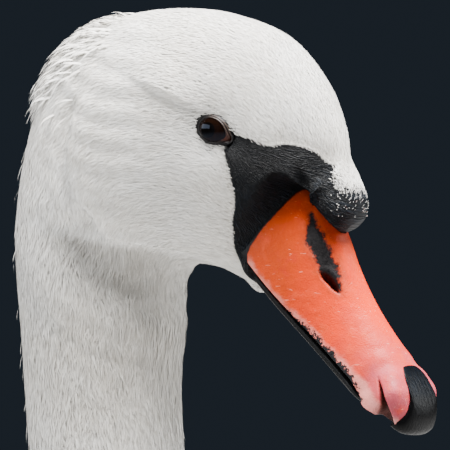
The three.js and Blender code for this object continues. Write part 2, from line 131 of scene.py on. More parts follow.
# Where the bare black skin shows, in the middle plane from the eye: along its upper edge to
# the knob, round the knob, and back up the rear edge from the chin to the lower lid.
BARE_OUTLINE = np.array([
    [3.0, -3.6], [6.4, 0.0], [10.0, -1.6], [12.8, -2.3], [15.1, -3.2], [17.4, -4.3],
    [19.8, -4.7], [22.2, -4.1], [24.6, -4.2], [26.9, -4.8], [29.3, -5.7], [31.2, -7.4],
    [33.2, -9.9], [35.6, -10.9], [37.0, -12.6], [38.2, -14.4], [40.2, -16.0], [47.0, -17.0],
    [60.0, -30.0], [40.0, -62.0], [12.0, -60.0],
    [9.6, -51.5], [7.8, -47.8], [5.6, -44.6], [4.7, -41.2], [4.4, -38.0], [4.7, -35.6],
    [5.3, -33.4], [5.9, -31.0], [6.2, -28.6], [7.2, -25.6], [7.9, -22.4], [7.9, -19.2],
    [7.2, -16.3], [6.6, -13.1], [5.8, -10.2], [4.7, -7.2],
])


# ------------------------------------------------------------------ numbers and surfaces

def smooth(value, low, high):
    """Smooth step from 0 at low to 1 at high."""
    t = np.clip((value - low) / (high - low), 0, 1)
    return t * t * (3 - 2 * t)


def mix(a, b, share):
    """A straight blend from a to b."""
    return a + (b - a) * share


def power(value, exponent):
    """The power of the size of value, with its sign kept."""
    return np.sign(value) * np.abs(value) ** exponent


def follow(rows, place):
    """Catmull-Rom curve through the rows of a table, read at places such as 3.25."""
    last = len(rows) - 1
    at = np.clip(place, 0, last)
    low = np.minimum(np.floor(at).astype(int), last - 1)
    t = (at - low)[..., None]
    a, b, c, d = (rows[np.clip(low + i, 0, last)] for i in (-1, 0, 1, 2))
    return b + 0.5 * t * (c - a + t * (2 * a - 5 * b + 4 * c - d + t * (3 * (b - c) + d - a)))


def keyed(keys, place):
    """Catmull-Rom curve through [place, value, ...] keys that lie at uneven places."""
    keys = np.asarray(keys, float)
    at = np.interp(place, keys[:, 0], np.arange(len(keys)))
    return follow(keys[:, 1:], at)


def unit(vectors):
    """Vectors of length one."""
    return vectors / np.maximum(np.linalg.norm(vectors, axis=-1, keepdims=True), 1e-9)


def grid(first, second):
    """All pairs of two lists of numbers, as two arrays."""
    return np.meshgrid(first, second, indexing="ij")


def round_turn(count):
    """Even steps of one turn, from 0 up to but not with 1."""
    return np.linspace(0, 1, count, endpoint=False)


def xyz(x, y, z):
    """Points from their coordinates."""
    return np.stack(np.broadcast_arrays(x, y, z), axis=-1)


def outline_distance(points, outline):
    """Distance of points in a plane to a closed outline, below zero inside it."""
    smooth_line = follow(np.vstack([outline, outline[:1]]), np.linspace(0, len(outline), 121))
    a, b = smooth_line[:-1], smooth_line[1:]
    side = b - a
    away = points[..., None, :] - a
    t = np.clip((away * side).sum(-1) / np.maximum((side * side).sum(-1), 1e-9), 0, 1)
    near = np.linalg.norm(away - side * t[..., None], axis=-1).min(-1)
    x, z = points[..., 0, None], points[..., 1, None]
    spans = (a[:, 1] > z) != (b[:, 1] > z)
    crossing = a[:, 0] + (z - a[:, 1]) / np.where(side[:, 1] == 0, 1e-9, side[:, 1]) * side[:, 0]
    inside = (spans & (x < crossing)).sum(-1) % 2 == 1
    return np.where(inside, -near, near)


def neck_sections():
    """The neck's centre line and radii as sections like the head's."""
    x, z, radius, lean = NECK_ROWS.T
    c, s = radius * np.cos(lean), radius * np.sin(lean)
    zero = np.zeros_like(x)
    return np.stack([x - c, z - s, x + c, z + s, 0.97 * radius, zero, zero + 1], axis=1)


def from_eye(rows):
    """Sections measured from the eye, in the shapes' own place."""
    moved = rows.copy()
    moved[:, :4] += np.tile(EYE, 2)
    return moved


def bill_frame(x, z):
    """Place along the bill's axis and height above it, from the corner of the mouth."""
    dx, dz = x - GAPE[0], z - GAPE[1]
    c, s = math.cos(BILL_PITCH), math.sin(BILL_PITCH)
    return dx * c - dz * s, dx * s + dz * c


def bill_point(along, height, side):
    """The point at a place along the bill's axis, a height above it and a side place."""
    c, s = math.cos(BILL_PITCH), math.sin(BILL_PITCH)
    return xyz(GAPE[0] + along * c + height * s, side, GAPE[1] - along * s + height * c)


def knob_sections():
    """The knob's sections, turned from the bill's axes to x and z."""
    rows = KNOB_ROWS.copy()
    for first in (0, 2):
        point = bill_point(KNOB_ROWS[:, first], KNOB_ROWS[:, first + 1], 0.0)
        rows[:, first:first + 2] = point[:, [0, 2]]
    return rows


BODY_ROWS = np.vstack([knob_sections(), from_eye(HEAD_ROWS), neck_sections(), TRUNK_ROWS])


def cheek(x, z):
    """How far the head's side stands out: the cheek ahead of its round fold, less the dip
    round the eye."""
    dx, dz = x - CHEEK[0], z - CHEEK[1]
    away = np.hypot(dx, dz)
    behind = smooth(-(0.8 * dx + 0.6 * dz) / (away + 1e-6), -0.5, 0.5)
    outside = smooth(away, CHEEK_FOLD - CHEEK_SOFT, CHEEK_FOLD + CHEEK_SOFT) * behind
    to_eye = np.hypot(x - EYE[0], z - EYE[1]) / SOCKET_REACH
    return CHEEK_STEP * (1 - outside) - SOCKET_DEPTH * np.exp(-to_eye ** 2)


def body_surface(place, turn):
    """The body's outer surface. A section lies in the plane of its dorsal point, its ventral
    point and the Y axis: its height is the sine of the turn and its half width the cosine,
    both raised to the squareness, and the egg makes it wider above."""
    dx, dz, vx, vz, half, egg, square = np.moveaxis(follow(BODY_ROWS, place), -1, 0)
    angle = turn * 2 * np.pi
    up = power(np.sin(angle), square)
    side = power(np.cos(angle), square) * (1 + egg * up)
    x = (dx + vx) / 2 + up * (dx - vx) / 2
    z = (dz + vz) / 2 + up * (dz - vz) / 2
    on_head = smooth(place, HEAD_AT - 1.5, HEAD_AT) * (place < NECK_AT)
    reach = half + np.where(place < NECK_AT, cheek(x, z), 0) * on_head
    return xyz(x, side * reach, np.maximum(z, 0))


def surface_normal(surface, u, v):
    """A surface's outward normal, from tangents by central differences."""
    du, dv = 0.02, 0.002
    along_u = (surface(u + du, v) - surface(u - du, v)) / (2 * du)
    along_v = (surface(u, v + dv) - surface(u, v - dv)) / (2 * dv)
    return unit(np.cross(along_u, along_v))


class Ground:
    """A surface worked out once on a fine grid, for feathers to be laid on. look() reads its
    points, tangents and outward normals between the grid's points, in a straight blend."""

    def __init__(self, surface, u_range, v_range, counts, wraps=False):
        self.u_range, self.v_range, self.counts, self.wraps = u_range, v_range, counts, wraps
        u, v = grid(np.linspace(*u_range, counts[0] + 1), np.linspace(*v_range, counts[1] + 1))
        points = surface(u, v)
        along_u = np.gradient(points, u[:, 0], axis=0)
        along_v = np.gradient(points, v[0], axis=1)
        if wraps:
            seam = (points[:, 1] - points[:, -2]) / (v[0, 1] - v[0, 0]) / 2
            along_v[:, 0] = along_v[:, -1] = seam
        normal = unit(np.cross(along_u, along_v))
        self.table = np.concatenate([points, along_u, along_v, normal], axis=-1)

    def look(self, u, v):
        """Points, tangents along u and v, and normals."""
        (u_low, u_high), (v_low, v_high) = self.u_range, self.v_range
        if self.wraps:
            v = v_low + np.mod(v - v_low, v_high - v_low)
        i = np.clip((u - u_low) / (u_high - u_low) * self.counts[0], 0, self.counts[0] - 1e-6)
        j = np.clip((v - v_low) / (v_high - v_low) * self.counts[1], 0, self.counts[1] - 1e-6)
        i_low, j_low = i.astype(int), j.astype(int)
        p, q = (i - i_low)[..., None], (j - j_low)[..., None]
        found = mix(mix(self.table[i_low, j_low], self.table[i_low, j_low + 1], q),
                    mix(self.table[i_low + 1, j_low], self.table[i_low + 1, j_low + 1], q), p)
        return found[..., :3], found[..., 3:6], found[..., 6:9], unit(found[..., 9:])


# ------------------------------------------------------------------ meshes

def grid_faces(rows, columns, closed=False):
    """Quads over a grid of rows and columns; closed joins the last column to the first."""
    i, j = grid(np.arange(rows - 1), np.arange(columns if closed else columns - 1))
    k = (j + 1) % columns
    quads = np.stack([i * columns + j, i * columns + k, (i + 1) * columns + k,
                      (i + 1) * columns + j], axis=-1)
    return quads.reshape(-1, 4)


def fan(ring, centre):
    """Triangles from a ring of vertices to one centre vertex."""
    return np.stack([ring, np.roll(ring, -1), np.full(len(ring), centre)], axis=-1)


def closed_loft(rings):
    """A closed surface over rings of points, with a fan at each end. Its faces are turned so
    that its volume counts above zero."""
    count, columns = rings.shape[:2]
    points = np.vstack([rings.reshape(-1, 3), rings[[0, -1]].mean(axis=1)])
    first, last = np.arange(columns), np.arange(columns) + (count - 1) * columns
    triangles = np.vstack([fan(first, len(points) - 2)[:, ::-1], fan(last, len(points) - 1)])
    quads = grid_faces(count, columns, closed=True)
    corners = np.vstack([quads[:, [0, 1, 2]], quads[:, [0, 2, 3]], triangles])
    a, b, c = (points[corners[:, i]] for i in range(3))
    if np.einsum("ij,ij->i", a, np.cross(b, c)).sum() < 0:
        return points, quads[:, ::-1], triangles[:, ::-1]
    return points, quads, triangles


def with_ends(values):
    """Values on a loft's rings, then the first one of each end ring for its fan's middle."""
    return np.concatenate([values.reshape(-1, values.shape[-1]), values[[0, -1], 0]])


def make_piece(name, points, quads, triangles, material, slot, maps=None, values=None):
    """A mesh in the frame's metres from millimetre points. maps are UV maps and values are
    numbers, both given for each vertex."""
    points = np.asarray(points, float).reshape(-1, 3)
    quads = np.asarray(quads, np.int32).reshape(-1, 4)
    triangles = np.asarray(triangles, np.int32).reshape(-1, 3)
    corners = np.concatenate([quads.ravel(), triangles.ravel()]).astype(np.int32)
    sizes = np.concatenate([np.full(len(quads), 4), np.full(len(triangles), 3)])
    starts = np.concatenate([[0], np.cumsum(sizes)[:-1]]).astype(np.int32)
    mesh = bpy.data.meshes.new(name)
    mesh.vertices.add(len(points))
    place = (points + np.array([SHIFT, 0, 0])) * MM
    mesh.vertices.foreach_set("co", place.astype(np.float32).ravel())
    mesh.loops.add(len(corners))
    mesh.loops.foreach_set("vertex_index", corners)
    mesh.polygons.add(len(sizes))
    mesh.polygons.foreach_set("loop_start", starts)
    mesh.polygons.foreach_set("use_smooth", np.ones(len(sizes), bool))
    mesh.update(calc_edges=True)
    for map_name, coordinates in (maps or {}).items():
        layer = mesh.uv_layers.new(name=map_name)
        flat = np.asarray(coordinates, np.float32).reshape(-1, 2)[corners]
        layer.data.foreach_set("uv", flat.ravel())
    for value_name, numbers in (values or {}).items():
        layer = mesh.attributes.new(value_name, "FLOAT", "POINT")
        layer.data.foreach_set("value", np.asarray(numbers, np.float32).ravel())
    mesh.validate()
    piece = bpy.data.objects.new(name, mesh)
    bpy.context.scene.collection.objects.link(piece)
    mesh.materials.append(material)
    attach(piece, ROOT)
    return piece


def joined(parts):
    """One set of points and faces from several (points, quads, triangles, extras) parts,
    where extras are arrays with a row for each point."""
    points, quads, triangles, extras, start = [], [], [], [], 0
    for part_points, part_quads, part_triangles, part_extras in parts:
        flat = part_points.reshape(-1, 3)
        points.append(flat)
        quads.append(np.asarray(part_quads).reshape(-1, 4) + start)
        triangles.append(np.asarray(part_triangles).reshape(-1, 3) + start)
        extras.append([np.asarray(e).reshape(len(flat), -1) for e in part_extras])
        start += len(flat)
    merged = [np.concatenate(column) for column in zip(*extras)]
    return np.concatenate(points), np.concatenate(quads), np.concatenate(triangles), merged


# ------------------------------------------------------------------ feathers

def repeated(faces, count, each):
    """One feather's faces repeated for count feathers of each vertices."""
    return (faces[None] + (np.arange(count) * each)[:, None, None]).reshape(-1, faces.shape[1])


def scattered(ground, u_range, v_range, count, weight, rng):
    """Roots spread evenly over a surface: its small cells are ordered, their areas times
    weight are summed up, and the count is dealt out along that sum at even steps."""
    cells_u, cells_v = 420, 220
    u = np.linspace(*u_range, cells_u + 1)
    v = np.linspace(*v_range, cells_v + 1)
    middle_u, middle_v = grid((u[1:] + u[:-1]) / 2, (v[1:] + v[:-1]) / 2)
    points, along_u, along_v, _ = ground.look(middle_u, middle_v)
    area = np.linalg.norm(np.cross(along_u, along_v), axis=-1)
    share = np.maximum(area * weight(middle_u, middle_v, points), 0)
    total = np.cumsum(share.ravel())
    steps = (np.arange(count) + rng.random(count)) / count * total[-1]
    cell = np.searchsorted(total, steps).clip(0, share.size - 1)
    i, j = np.unravel_index(cell, share.shape)
    return (u[i] + rng.random(count) * (u[1] - u[0]), v[j] + rng.random(count) * (v[1] - v[0]))


def vane_outline(kind, t):
    """Half width of a feather or tuft at each share of its length, as a share of its widest."""
    if kind == "tuft":
        return (0.55 + 0.45 * np.sin(np.pi * t)) * (1 - t ** 2.2)
    if kind == "wisp":
        return (0.5 + 0.5 * np.sin(np.pi * t ** 0.8)) * (1 - t ** 1.5)
    if kind == "vane":
        return (0.42 + 0.58 * smooth(t, 0, 0.55)) * np.sqrt(np.maximum(1 - t ** 3.2, 0))
    return (0.62 + 0.38 * smooth(t, 0, 0.3)) * np.sqrt(np.maximum(1 - t ** 7, 0))


def laid_feathers(ground, u, v, length, width, rng, kind="tuft", swing=0.0, low=0.0,
                  rise=1.0, crown=0.1, curl=0.0, stations=4, columns=3, fray=0.0,
                  mirror=False, last_share=0.86, span=(1.0, 1.0)):
    """Feathers laid on a ground from their roots at (u, v). A feather's centre line runs
    along the surface's first direction, turned by swing; points across it stand to both
    sides by its outline; it lies at height low at its root and rises by rise to its tip, and
    the crown bows it down to its sides. Curl bends its centre line sideways. Returns a part
    for joined(), whose extras are the root's unwrap with a small patch for each feather, the
    place on the feather, and its tone."""
    count = len(u)
    length, width, swing, low, rise, curl = (
        np.broadcast_to(np.asarray(a, float), count)[:, None, None]
        for a in (length, width, swing, low, rise, curl))
    _, along_u, along_v, normal = ground.look(u, v)
    ahead = unit(along_u)
    aside = unit(np.cross(normal, ahead))
    e, f, g = ((a * b).sum(-1) for a, b in ((along_u, along_u), (along_u, along_v),
                                            (along_v, along_v)))
    size = np.maximum(e * g - f * f, 1e-6)

    def to_surface(direction):
        """How u and v change for a millimetre in a direction."""
        p, q = (direction * along_u).sum(-1), (direction * along_v).sum(-1)
        return (p * g - q * f) / size, (q * e - p * f) / size

    (ahead_u, ahead_v), (aside_u, aside_v) = to_surface(ahead), to_surface(aside)
    t = np.linspace(0, last_share, stations)[None, :, None]
    s = np.linspace(-1, 1, columns)[None, None, :]
    tip_shift = fray * rng.normal(size=(count, 1, columns)) * (t > 0.6)
    reach = (t + tip_shift - 0.10 * s ** 2 * t) * length
    aside_mm = vane_outline(kind, t) * width * s + curl * length * t ** 2
    c, k = np.cos(swing), np.sin(swing)
    forward, sideways = reach * c - aside_mm * k, reach * k + aside_mm * c

    def place(forward, sideways, height):
        """Points at distances ahead of the roots and beside them, at a height."""
        uu, vv = (root[:, None, None] + forward * p[:, None, None] + sideways * q[:, None, None]
                  for root, p, q in ((u, ahead_u, aside_u), (v, ahead_v, aside_v)))
        at, _, _, out = ground.look(uu, vv)
        return at + out * height[..., None]

    height = low + rise * (1 - (1 - t) ** 2) - crown * width * np.abs(s) ** 1.6
    body = place(forward, sideways, height)
    tip_side = curl * length
    tip = place(length * c - tip_side * k, length * k + tip_side * c, low + rise)
    points = np.concatenate([body.reshape(count, -1, 3), tip.reshape(count, 1, 3)], axis=1)
    if mirror:
        points = points * np.array([1, -1, 1])
    each = stations * columns + 1
    last = np.arange(columns - 1) + (stations - 1) * columns
    ends = xyz(last, last + 1, each - 1)
    quads = repeated(grid_faces(stations, columns), count, each)
    triangles = repeated(ends, count, each)
    if not mirror:
        quads, triangles = quads[:, ::-1], triangles[:, ::-1]
    local_s = np.append(np.broadcast_to(s, (1, stations, columns)).ravel(), 0.0)
    local_t = np.append(np.broadcast_to(t, (1, stations, columns)).ravel(), 1.0)
    patch = 0.003
    unwrap = np.stack([
        0.01 + 0.98 * np.clip((v * span[1])[:, None] % 1.0, 0, 1) + patch * 0.5 * local_s,
        0.01 + 0.98 * np.clip((u * span[0])[:, None], 0, 1) + patch * (local_t - 0.5)], axis=-1)
    on_feather = np.broadcast_to(
        np.stack([local_s * 0.5 + 0.5, local_t], axis=-1)[None], (count, each, 2))
    tones = np.broadcast_to(rng.random(count)[:, None], (count, each))
    return points, quads, triangles, (unwrap, on_feather, tones)


def make_coat(name, parts, material):
    """One coat piece from parts made by laid_feathers."""
    *mesh, (unwrap, on_feather, tones) = joined(parts)
    return make_piece(name, *mesh, material, "plumage",
                      maps={"OFBake": unwrap, "Feather": on_feather}, values={"tone": tones})


# ------------------------------------------------------------------ material tools

class Nodes:
    """A shader tree, with short ways to add its nodes."""

    def __init__(self, tree):
        self.tree = tree

    def put(self, value, socket):
        """A plain value or another node's output on a socket."""
        if isinstance(value, bpy.types.NodeSocket):
            self.tree.links.new(value, socket)
        else:
            socket.default_value = value

    def add(self, kind, inputs=None, **settings):
        """A node of a kind with settings, and values for its named inputs."""
        node = self.tree.nodes.new(kind)
        for key, value in settings.items():
            setattr(node, key, value)
        for key, value in (inputs or {}).items():
            self.put(value, node.inputs[key])
        return node

    def math(self, operation, *values):
        """A Math node's output."""
        inputs = dict(enumerate(values))
        return self.add("ShaderNodeMath", inputs, operation=operation).outputs[0]

    def plus(self, a, b):
        """a + b"""
        return self.math("ADD", a, b)

    def less(self, a, b):
        """a - b"""
        return self.math("SUBTRACT", a, b)

    def times(self, a, b):
        """a x b"""
        return self.math("MULTIPLY", a, b)

    def blend(self, share, first, second, blend_type="MIX"):
        """A blend of two colours by a share."""
        return self.add("ShaderNodeMix", {0: share, 6: first, 7: second}, data_type="RGBA",
                        blend_type=blend_type).outputs[2]

    def tinted(self, share, colour, *tint):
        """A colour multiplied by red, green and blue, by a share."""
        return self.blend(share, colour, self.blend(1.0, colour, rgba(*tint), "MULTIPLY"))

    def between(self, value, low, high, out_low=0.0, out_high=1.0):
        """A value's smooth step from low to high, sent to another range."""
        return self.add("ShaderNodeMapRange", {
            "Value": value, "From Min": low, "From Max": high, "To Min": out_low,
            "To Max": out_high}, interpolation_type="SMOOTHSTEP").outputs["Result"]

    def attribute(self, name):
        """A number stored on the vertices."""
        return self.add("ShaderNodeAttribute", attribute_name=name).outputs["Fac"]

    def place(self):
        """Place in the piece's own metres."""
        return self.add("ShaderNodeTexCoord").outputs["Object"]

    def map_place(self, name):
        """Place in one of the piece's own UV maps."""
        return self.add("ShaderNodeUVMap", uv_map=name).outputs["UV"]

    def axes(self, vector):
        """A vector's X, Y and Z."""
        return self.add("ShaderNodeSeparateXYZ", {0: vector}).outputs

    def noise(self, vector, scale, detail=3.0, roughness=0.5, distortion=0.0):
        """A noise texture's value."""
        return self.add("ShaderNodeTexNoise", {
            "Vector": vector, "Scale": scale, "Detail": detail, "Roughness": roughness,
            "Distortion": distortion}).outputs["Fac"]

    def scaled(self, vector, *scale):
        """A vector scaled by three numbers."""
        return self.add("ShaderNodeMapping", {
            "Vector": vector, "Scale": scale}).outputs["Vector"]

    def group(self, group, inputs):
        """A group's outputs, with values for its inputs."""
        return self.add("ShaderNodeGroup", inputs, node_tree=group).outputs

    def mottled(self, first, second, place, clouds, grain, grain_share):
        """Two colours mottled together at two scales."""
        return self.group(MOTTLE, {
            "Colour A": first, "Colour B": second, "Place": place, "Cloud scale": clouds,
            "Grain scale": grain, "Grain share": grain_share})["Colour"]


class Material(Nodes):
    """A material with a Principled shader whose own sockets take the settings."""

    def __init__(self, name, **settings):
        self.made = bpy.data.materials.new(name)
        self.made.use_nodes = True
        super().__init__(self.made.node_tree)
        self.shader = next(n for n in self.tree.nodes if n.type == "BSDF_PRINCIPLED")
        for key, value in settings.items():
            self.shader.inputs[key.replace("_", " ")].default_value = value

    def feed(self, name, value):
        """A value for one of the shader's sockets."""
        self.put(value, self.shader.inputs[name])

    def bump(self, height, distance):
        """A height that feeds the shader's Normal."""
        self.feed("Normal", self.add("ShaderNodeBump", {
            "Height": height, "Distance": distance, "Strength": 1.0}).outputs["Normal"])


def rgba(red, green, blue):
    """A colour with full alpha."""
    return (red, green, blue, 1.0)


def new_group(name, inputs, outputs):
    """An empty shader node group, its inputs by name and its output node; inputs are
    (name, kind, default) rows and outputs (name, kind) rows."""
    tree = bpy.data.node_groups.new(name, "ShaderNodeTree")
    for label, kind, default in inputs:
        socket = tree.interface.new_socket(name=label, in_out="INPUT",
                                           socket_type="NodeSocket" + kind)
        socket.default_value = default
    for label, kind in outputs:
        tree.interface.new_socket(name=label, in_out="OUTPUT", socket_type="NodeSocket" + kind)
    nodes = Nodes(tree)
    return nodes, nodes.add("NodeGroupInput").outputs, nodes.add("NodeGroupOutput").inputs


def mottle_group():
    """Two colours mixed by broad clouds and fine grain."""
    t, given, out = new_group("mottle", [
        ("Colour A", "Color", rgba(1, 1, 1)), ("Colour B", "Color", rgba(0, 0, 0)),
        ("Place", "Vector", (0, 0, 0)), ("Cloud scale", "Float", 60.0),
        ("Grain scale", "Float", 600.0), ("Grain share", "Float", 0.3)],
        [("Colour", "Color")])
    cloud = t.noise(given["Place"], given["Cloud scale"])
    grain = t.noise(given["Place"], given["Grain scale"], 2.0)
    both = t.add("ShaderNodeMix", {0: given["Grain share"], 2: cloud, 3: grain})
    amount = t.between(both.outputs[0], 0.3, 0.7)
    t.put(t.blend(amount, given["Colour A"], given["Colour B"]), out["Colour"])
    return t.tree


def wrinkle_group():
    """Fine creases: stretched noise on a flow map, with cross creases, as a height."""
    t, given, out = new_group("wrinkles", [
        ("Flow", "Vector", (0, 0, 0)), ("Across", "Float", 1.0), ("Along", "Float", 0.2)],
        [("Height", "Float")])
    stretch = t.add("ShaderNodeCombineXYZ", {"X": given["Across"], "Y": given["Along"]})
    flow = t.add("ShaderNodeVectorMath", {0: given["Flow"], 1: stretch.outputs[0]},
                 operation="MULTIPLY").outputs[0]
    ridge = t.math("ABSOLUTE", t.less(t.noise(flow, 1.0, 3.0, 0.55, 0.6), 0.5))
    cross = t.noise(given["Flow"], 1.6, 2.0)
    t.put(t.plus(t.times(ridge, 3.0), t.times(cross, 0.35)), out["Height"])
    return t.tree


def barb_group():
    """A feather's fine barbs, which slant from its shaft to its edges, and the shaft."""
    t, given, out = new_group("barbs", [
        ("Feather", "Vector", (0, 0, 0)), ("Count", "Float", 60.0), ("Slant", "Float", 0.5)],
        [("Height", "Float"), ("Shaft", "Float")])
    parts = t.axes(given["Feather"])
    side = t.math("ABSOLUTE", t.less(parts["X"], 0.5))
    slant = t.times(side, given["Slant"])
    turns = t.times(t.less(parts["Y"], slant), given["Count"])
    lines = t.math("SINE", t.times(turns, 2 * math.pi))
    shaft = t.between(side, 0.02, 0.05, 1.0, 0.0)
    t.put(t.plus(t.times(lines, 0.5), shaft), out["Height"])
    t.put(shaft, out["Shaft"])
    return t.tree


MOTTLE, WRINKLES, BARBS = mottle_group(), wrinkle_group(), barb_group()

# ------------------------------------------------------------------ materials

WHITE = rgba(0.93, 0.92, 0.895)
CREAM = rgba(0.82, 0.78, 0.71)
ASH = rgba(0.74, 0.745, 0.76)
BLACK_SKIN = rgba(0.0012, 0.0014, 0.0019)
SLATE_SKIN = rgba(0.0047, 0.0064, 0.0094)


def plumage_colour(t, place, tone):
    """White that drifts to cream and ash in broad soft clouds, and a little with each feather's
    tone, and is greyer under the jaw's line, most so at the throat: painted shade that stands in
    for part of the head's shadow on the neck."""
    mottled = t.mottled(WHITE, CREAM, place, 26.0, 420.0, 0.3)
    cool = t.noise(place, 34.0, 2.0)
    cooled = t.blend(t.between(cool, 0.5, 0.8, 0.0, 0.5), mottled, ASH)
    shade = t.blend(1.0, cooled, rgba(0.73, 0.72, 0.71), "MULTIPLY")
    white = t.blend(tone, shade, t.blend(0.4, cooled, WHITE))
    # Painted shade: the plumage is greyed under the jaw's line, most at the throat, for part of
    # the head's shadow on the neck.
    parts = t.axes(place)
    eye_ahead, narrower = EYE[0] + SHIFT, 1.6
    level = t.math("MULTIPLY_ADD", parts["X"], JAW_SLOPE, parts["Z"])
    jaw_level = (EYE[1] - JAW_DROP + JAW_SLOPE * eye_ahead) * MM
    below = t.between(level, jaw_level, jaw_level - 0.003)
    flat = t.add("ShaderNodeCombineXYZ", {0: t.times(parts["X"], narrower), 2: parts["Z"]})
    throat = ((eye_ahead - 39) * narrower * MM, 0.0, (EYE[1] - 60) * MM)
    away = t.add("ShaderNodeVectorMath", {0: flat.outputs[0], 1: throat}, operation="DISTANCE")
    painted_jaw_shade = t.times(below, t.between(away.outputs["Value"], 0.014, 0.082, 1.0, 0.0))
    return t.tinted(painted_jaw_shade, white, 0.70, 0.685, 0.66)


def down_material():
    """Short plush feathers of the head and neck."""
    t = Material("white_down", Roughness=0.75, Sheen_Weight=0.25, Sheen_Roughness=0.4,
                 Specular_IOR_Level=0.2)
    t.feed("Base Color", plumage_colour(t, t.place(), t.attribute("tone")))
    return t.made


def vane_material(name, count, depth, shaft_share, covered_to):
    """White feathers with a shaft and barbs, greyer from covered_to down to the root, where
    the feathers ahead shade them."""
    t = Material(name, Roughness=0.62, Sheen_Weight=0.15, Specular_IOR_Level=0.3)
    barbs = t.group(BARBS, {"Feather": t.map_place("Feather"), "Count": count, "Slant": 0.7})
    along = t.axes(t.map_place("Feather"))["Y"]
    covered = t.between(along, covered_to, 0.25, 0.0, 0.75)
    white = plumage_colour(t, t.place(), t.attribute("tone"))
    white = t.tinted(covered, white, 0.52, 0.52, 0.54)
    shaft = t.times(barbs["Shaft"], shaft_share)
    t.feed("Base Color", t.blend(shaft, white, rgba(0.66, 0.60, 0.50)))
    t.bump(barbs["Height"], depth)
    return t.made


def skin_material():
    """Skin under the coat, white as the coat above it, and bare black skin on the face and knob,
    creased along a flow that fans out from the eye's front corner. Low on the lore the black is
    painted lighter, painted light that lifts its shaded lower half, and the creases are painted
    blacker than the ridges, painted shade in them."""
    t = Material("swan_skin", Specular_IOR_Level=0.085)
    place = t.place()
    rough_edge = t.times(t.less(t.noise(place, 1500.0), 0.5), 1.2)
    bare = t.between(t.plus(t.attribute("bare_edge"), rough_edge), -0.5, 0.5, 1.0, 0.0)
    creases = t.group(WRINKLES, {"Flow": t.map_place("Flow"), "Across": 2.6,
                                 "Along": 0.30})["Height"]
    black = t.mottled(BLACK_SKIN, SLATE_SKIN, place, 90.0, 1900.0, 0.6)
    # Painted light: the black is lifted low on the lore, where it lies in shade.
    low_lore = t.between(t.axes(place)["Z"], (EYE[1] - 10) * MM, (EYE[1] - 26) * MM)
    painted_lore_fill = t.tinted(low_lore, black, 2.1, 2.1, 2.1)
    # Painted shade: the creases are painted black and the ridges between them slate.
    black_with_painted_crease_shade = t.blend(t.between(creases, 0.15, 0.7), BLACK_SKIN, painted_lore_fill)
    white = plumage_colour(t, place, bare)
    t.feed("Base Color", t.blend(bare, white, black_with_painted_crease_shade))
    t.feed("Roughness", t.between(bare, 0.0, 1.0, 0.8, 0.40))
    t.bump(t.times(creases, bare), 0.0006)
    return t.made


BILL_RAMP = (  # share of the bill's length, colour; the stops at the base are darker, painted shade near the face
    (0.0, (0.38, 0.038, 0.0014)), (0.20, (0.48, 0.040, 0.0012)), (0.48, (0.68, 0.034, 0.0008)),
    (0.66, (0.57, 0.042, 0.018)), (0.84, (0.38, 0.056, 0.074)), (1.0, (0.38, 0.080, 0.110)))


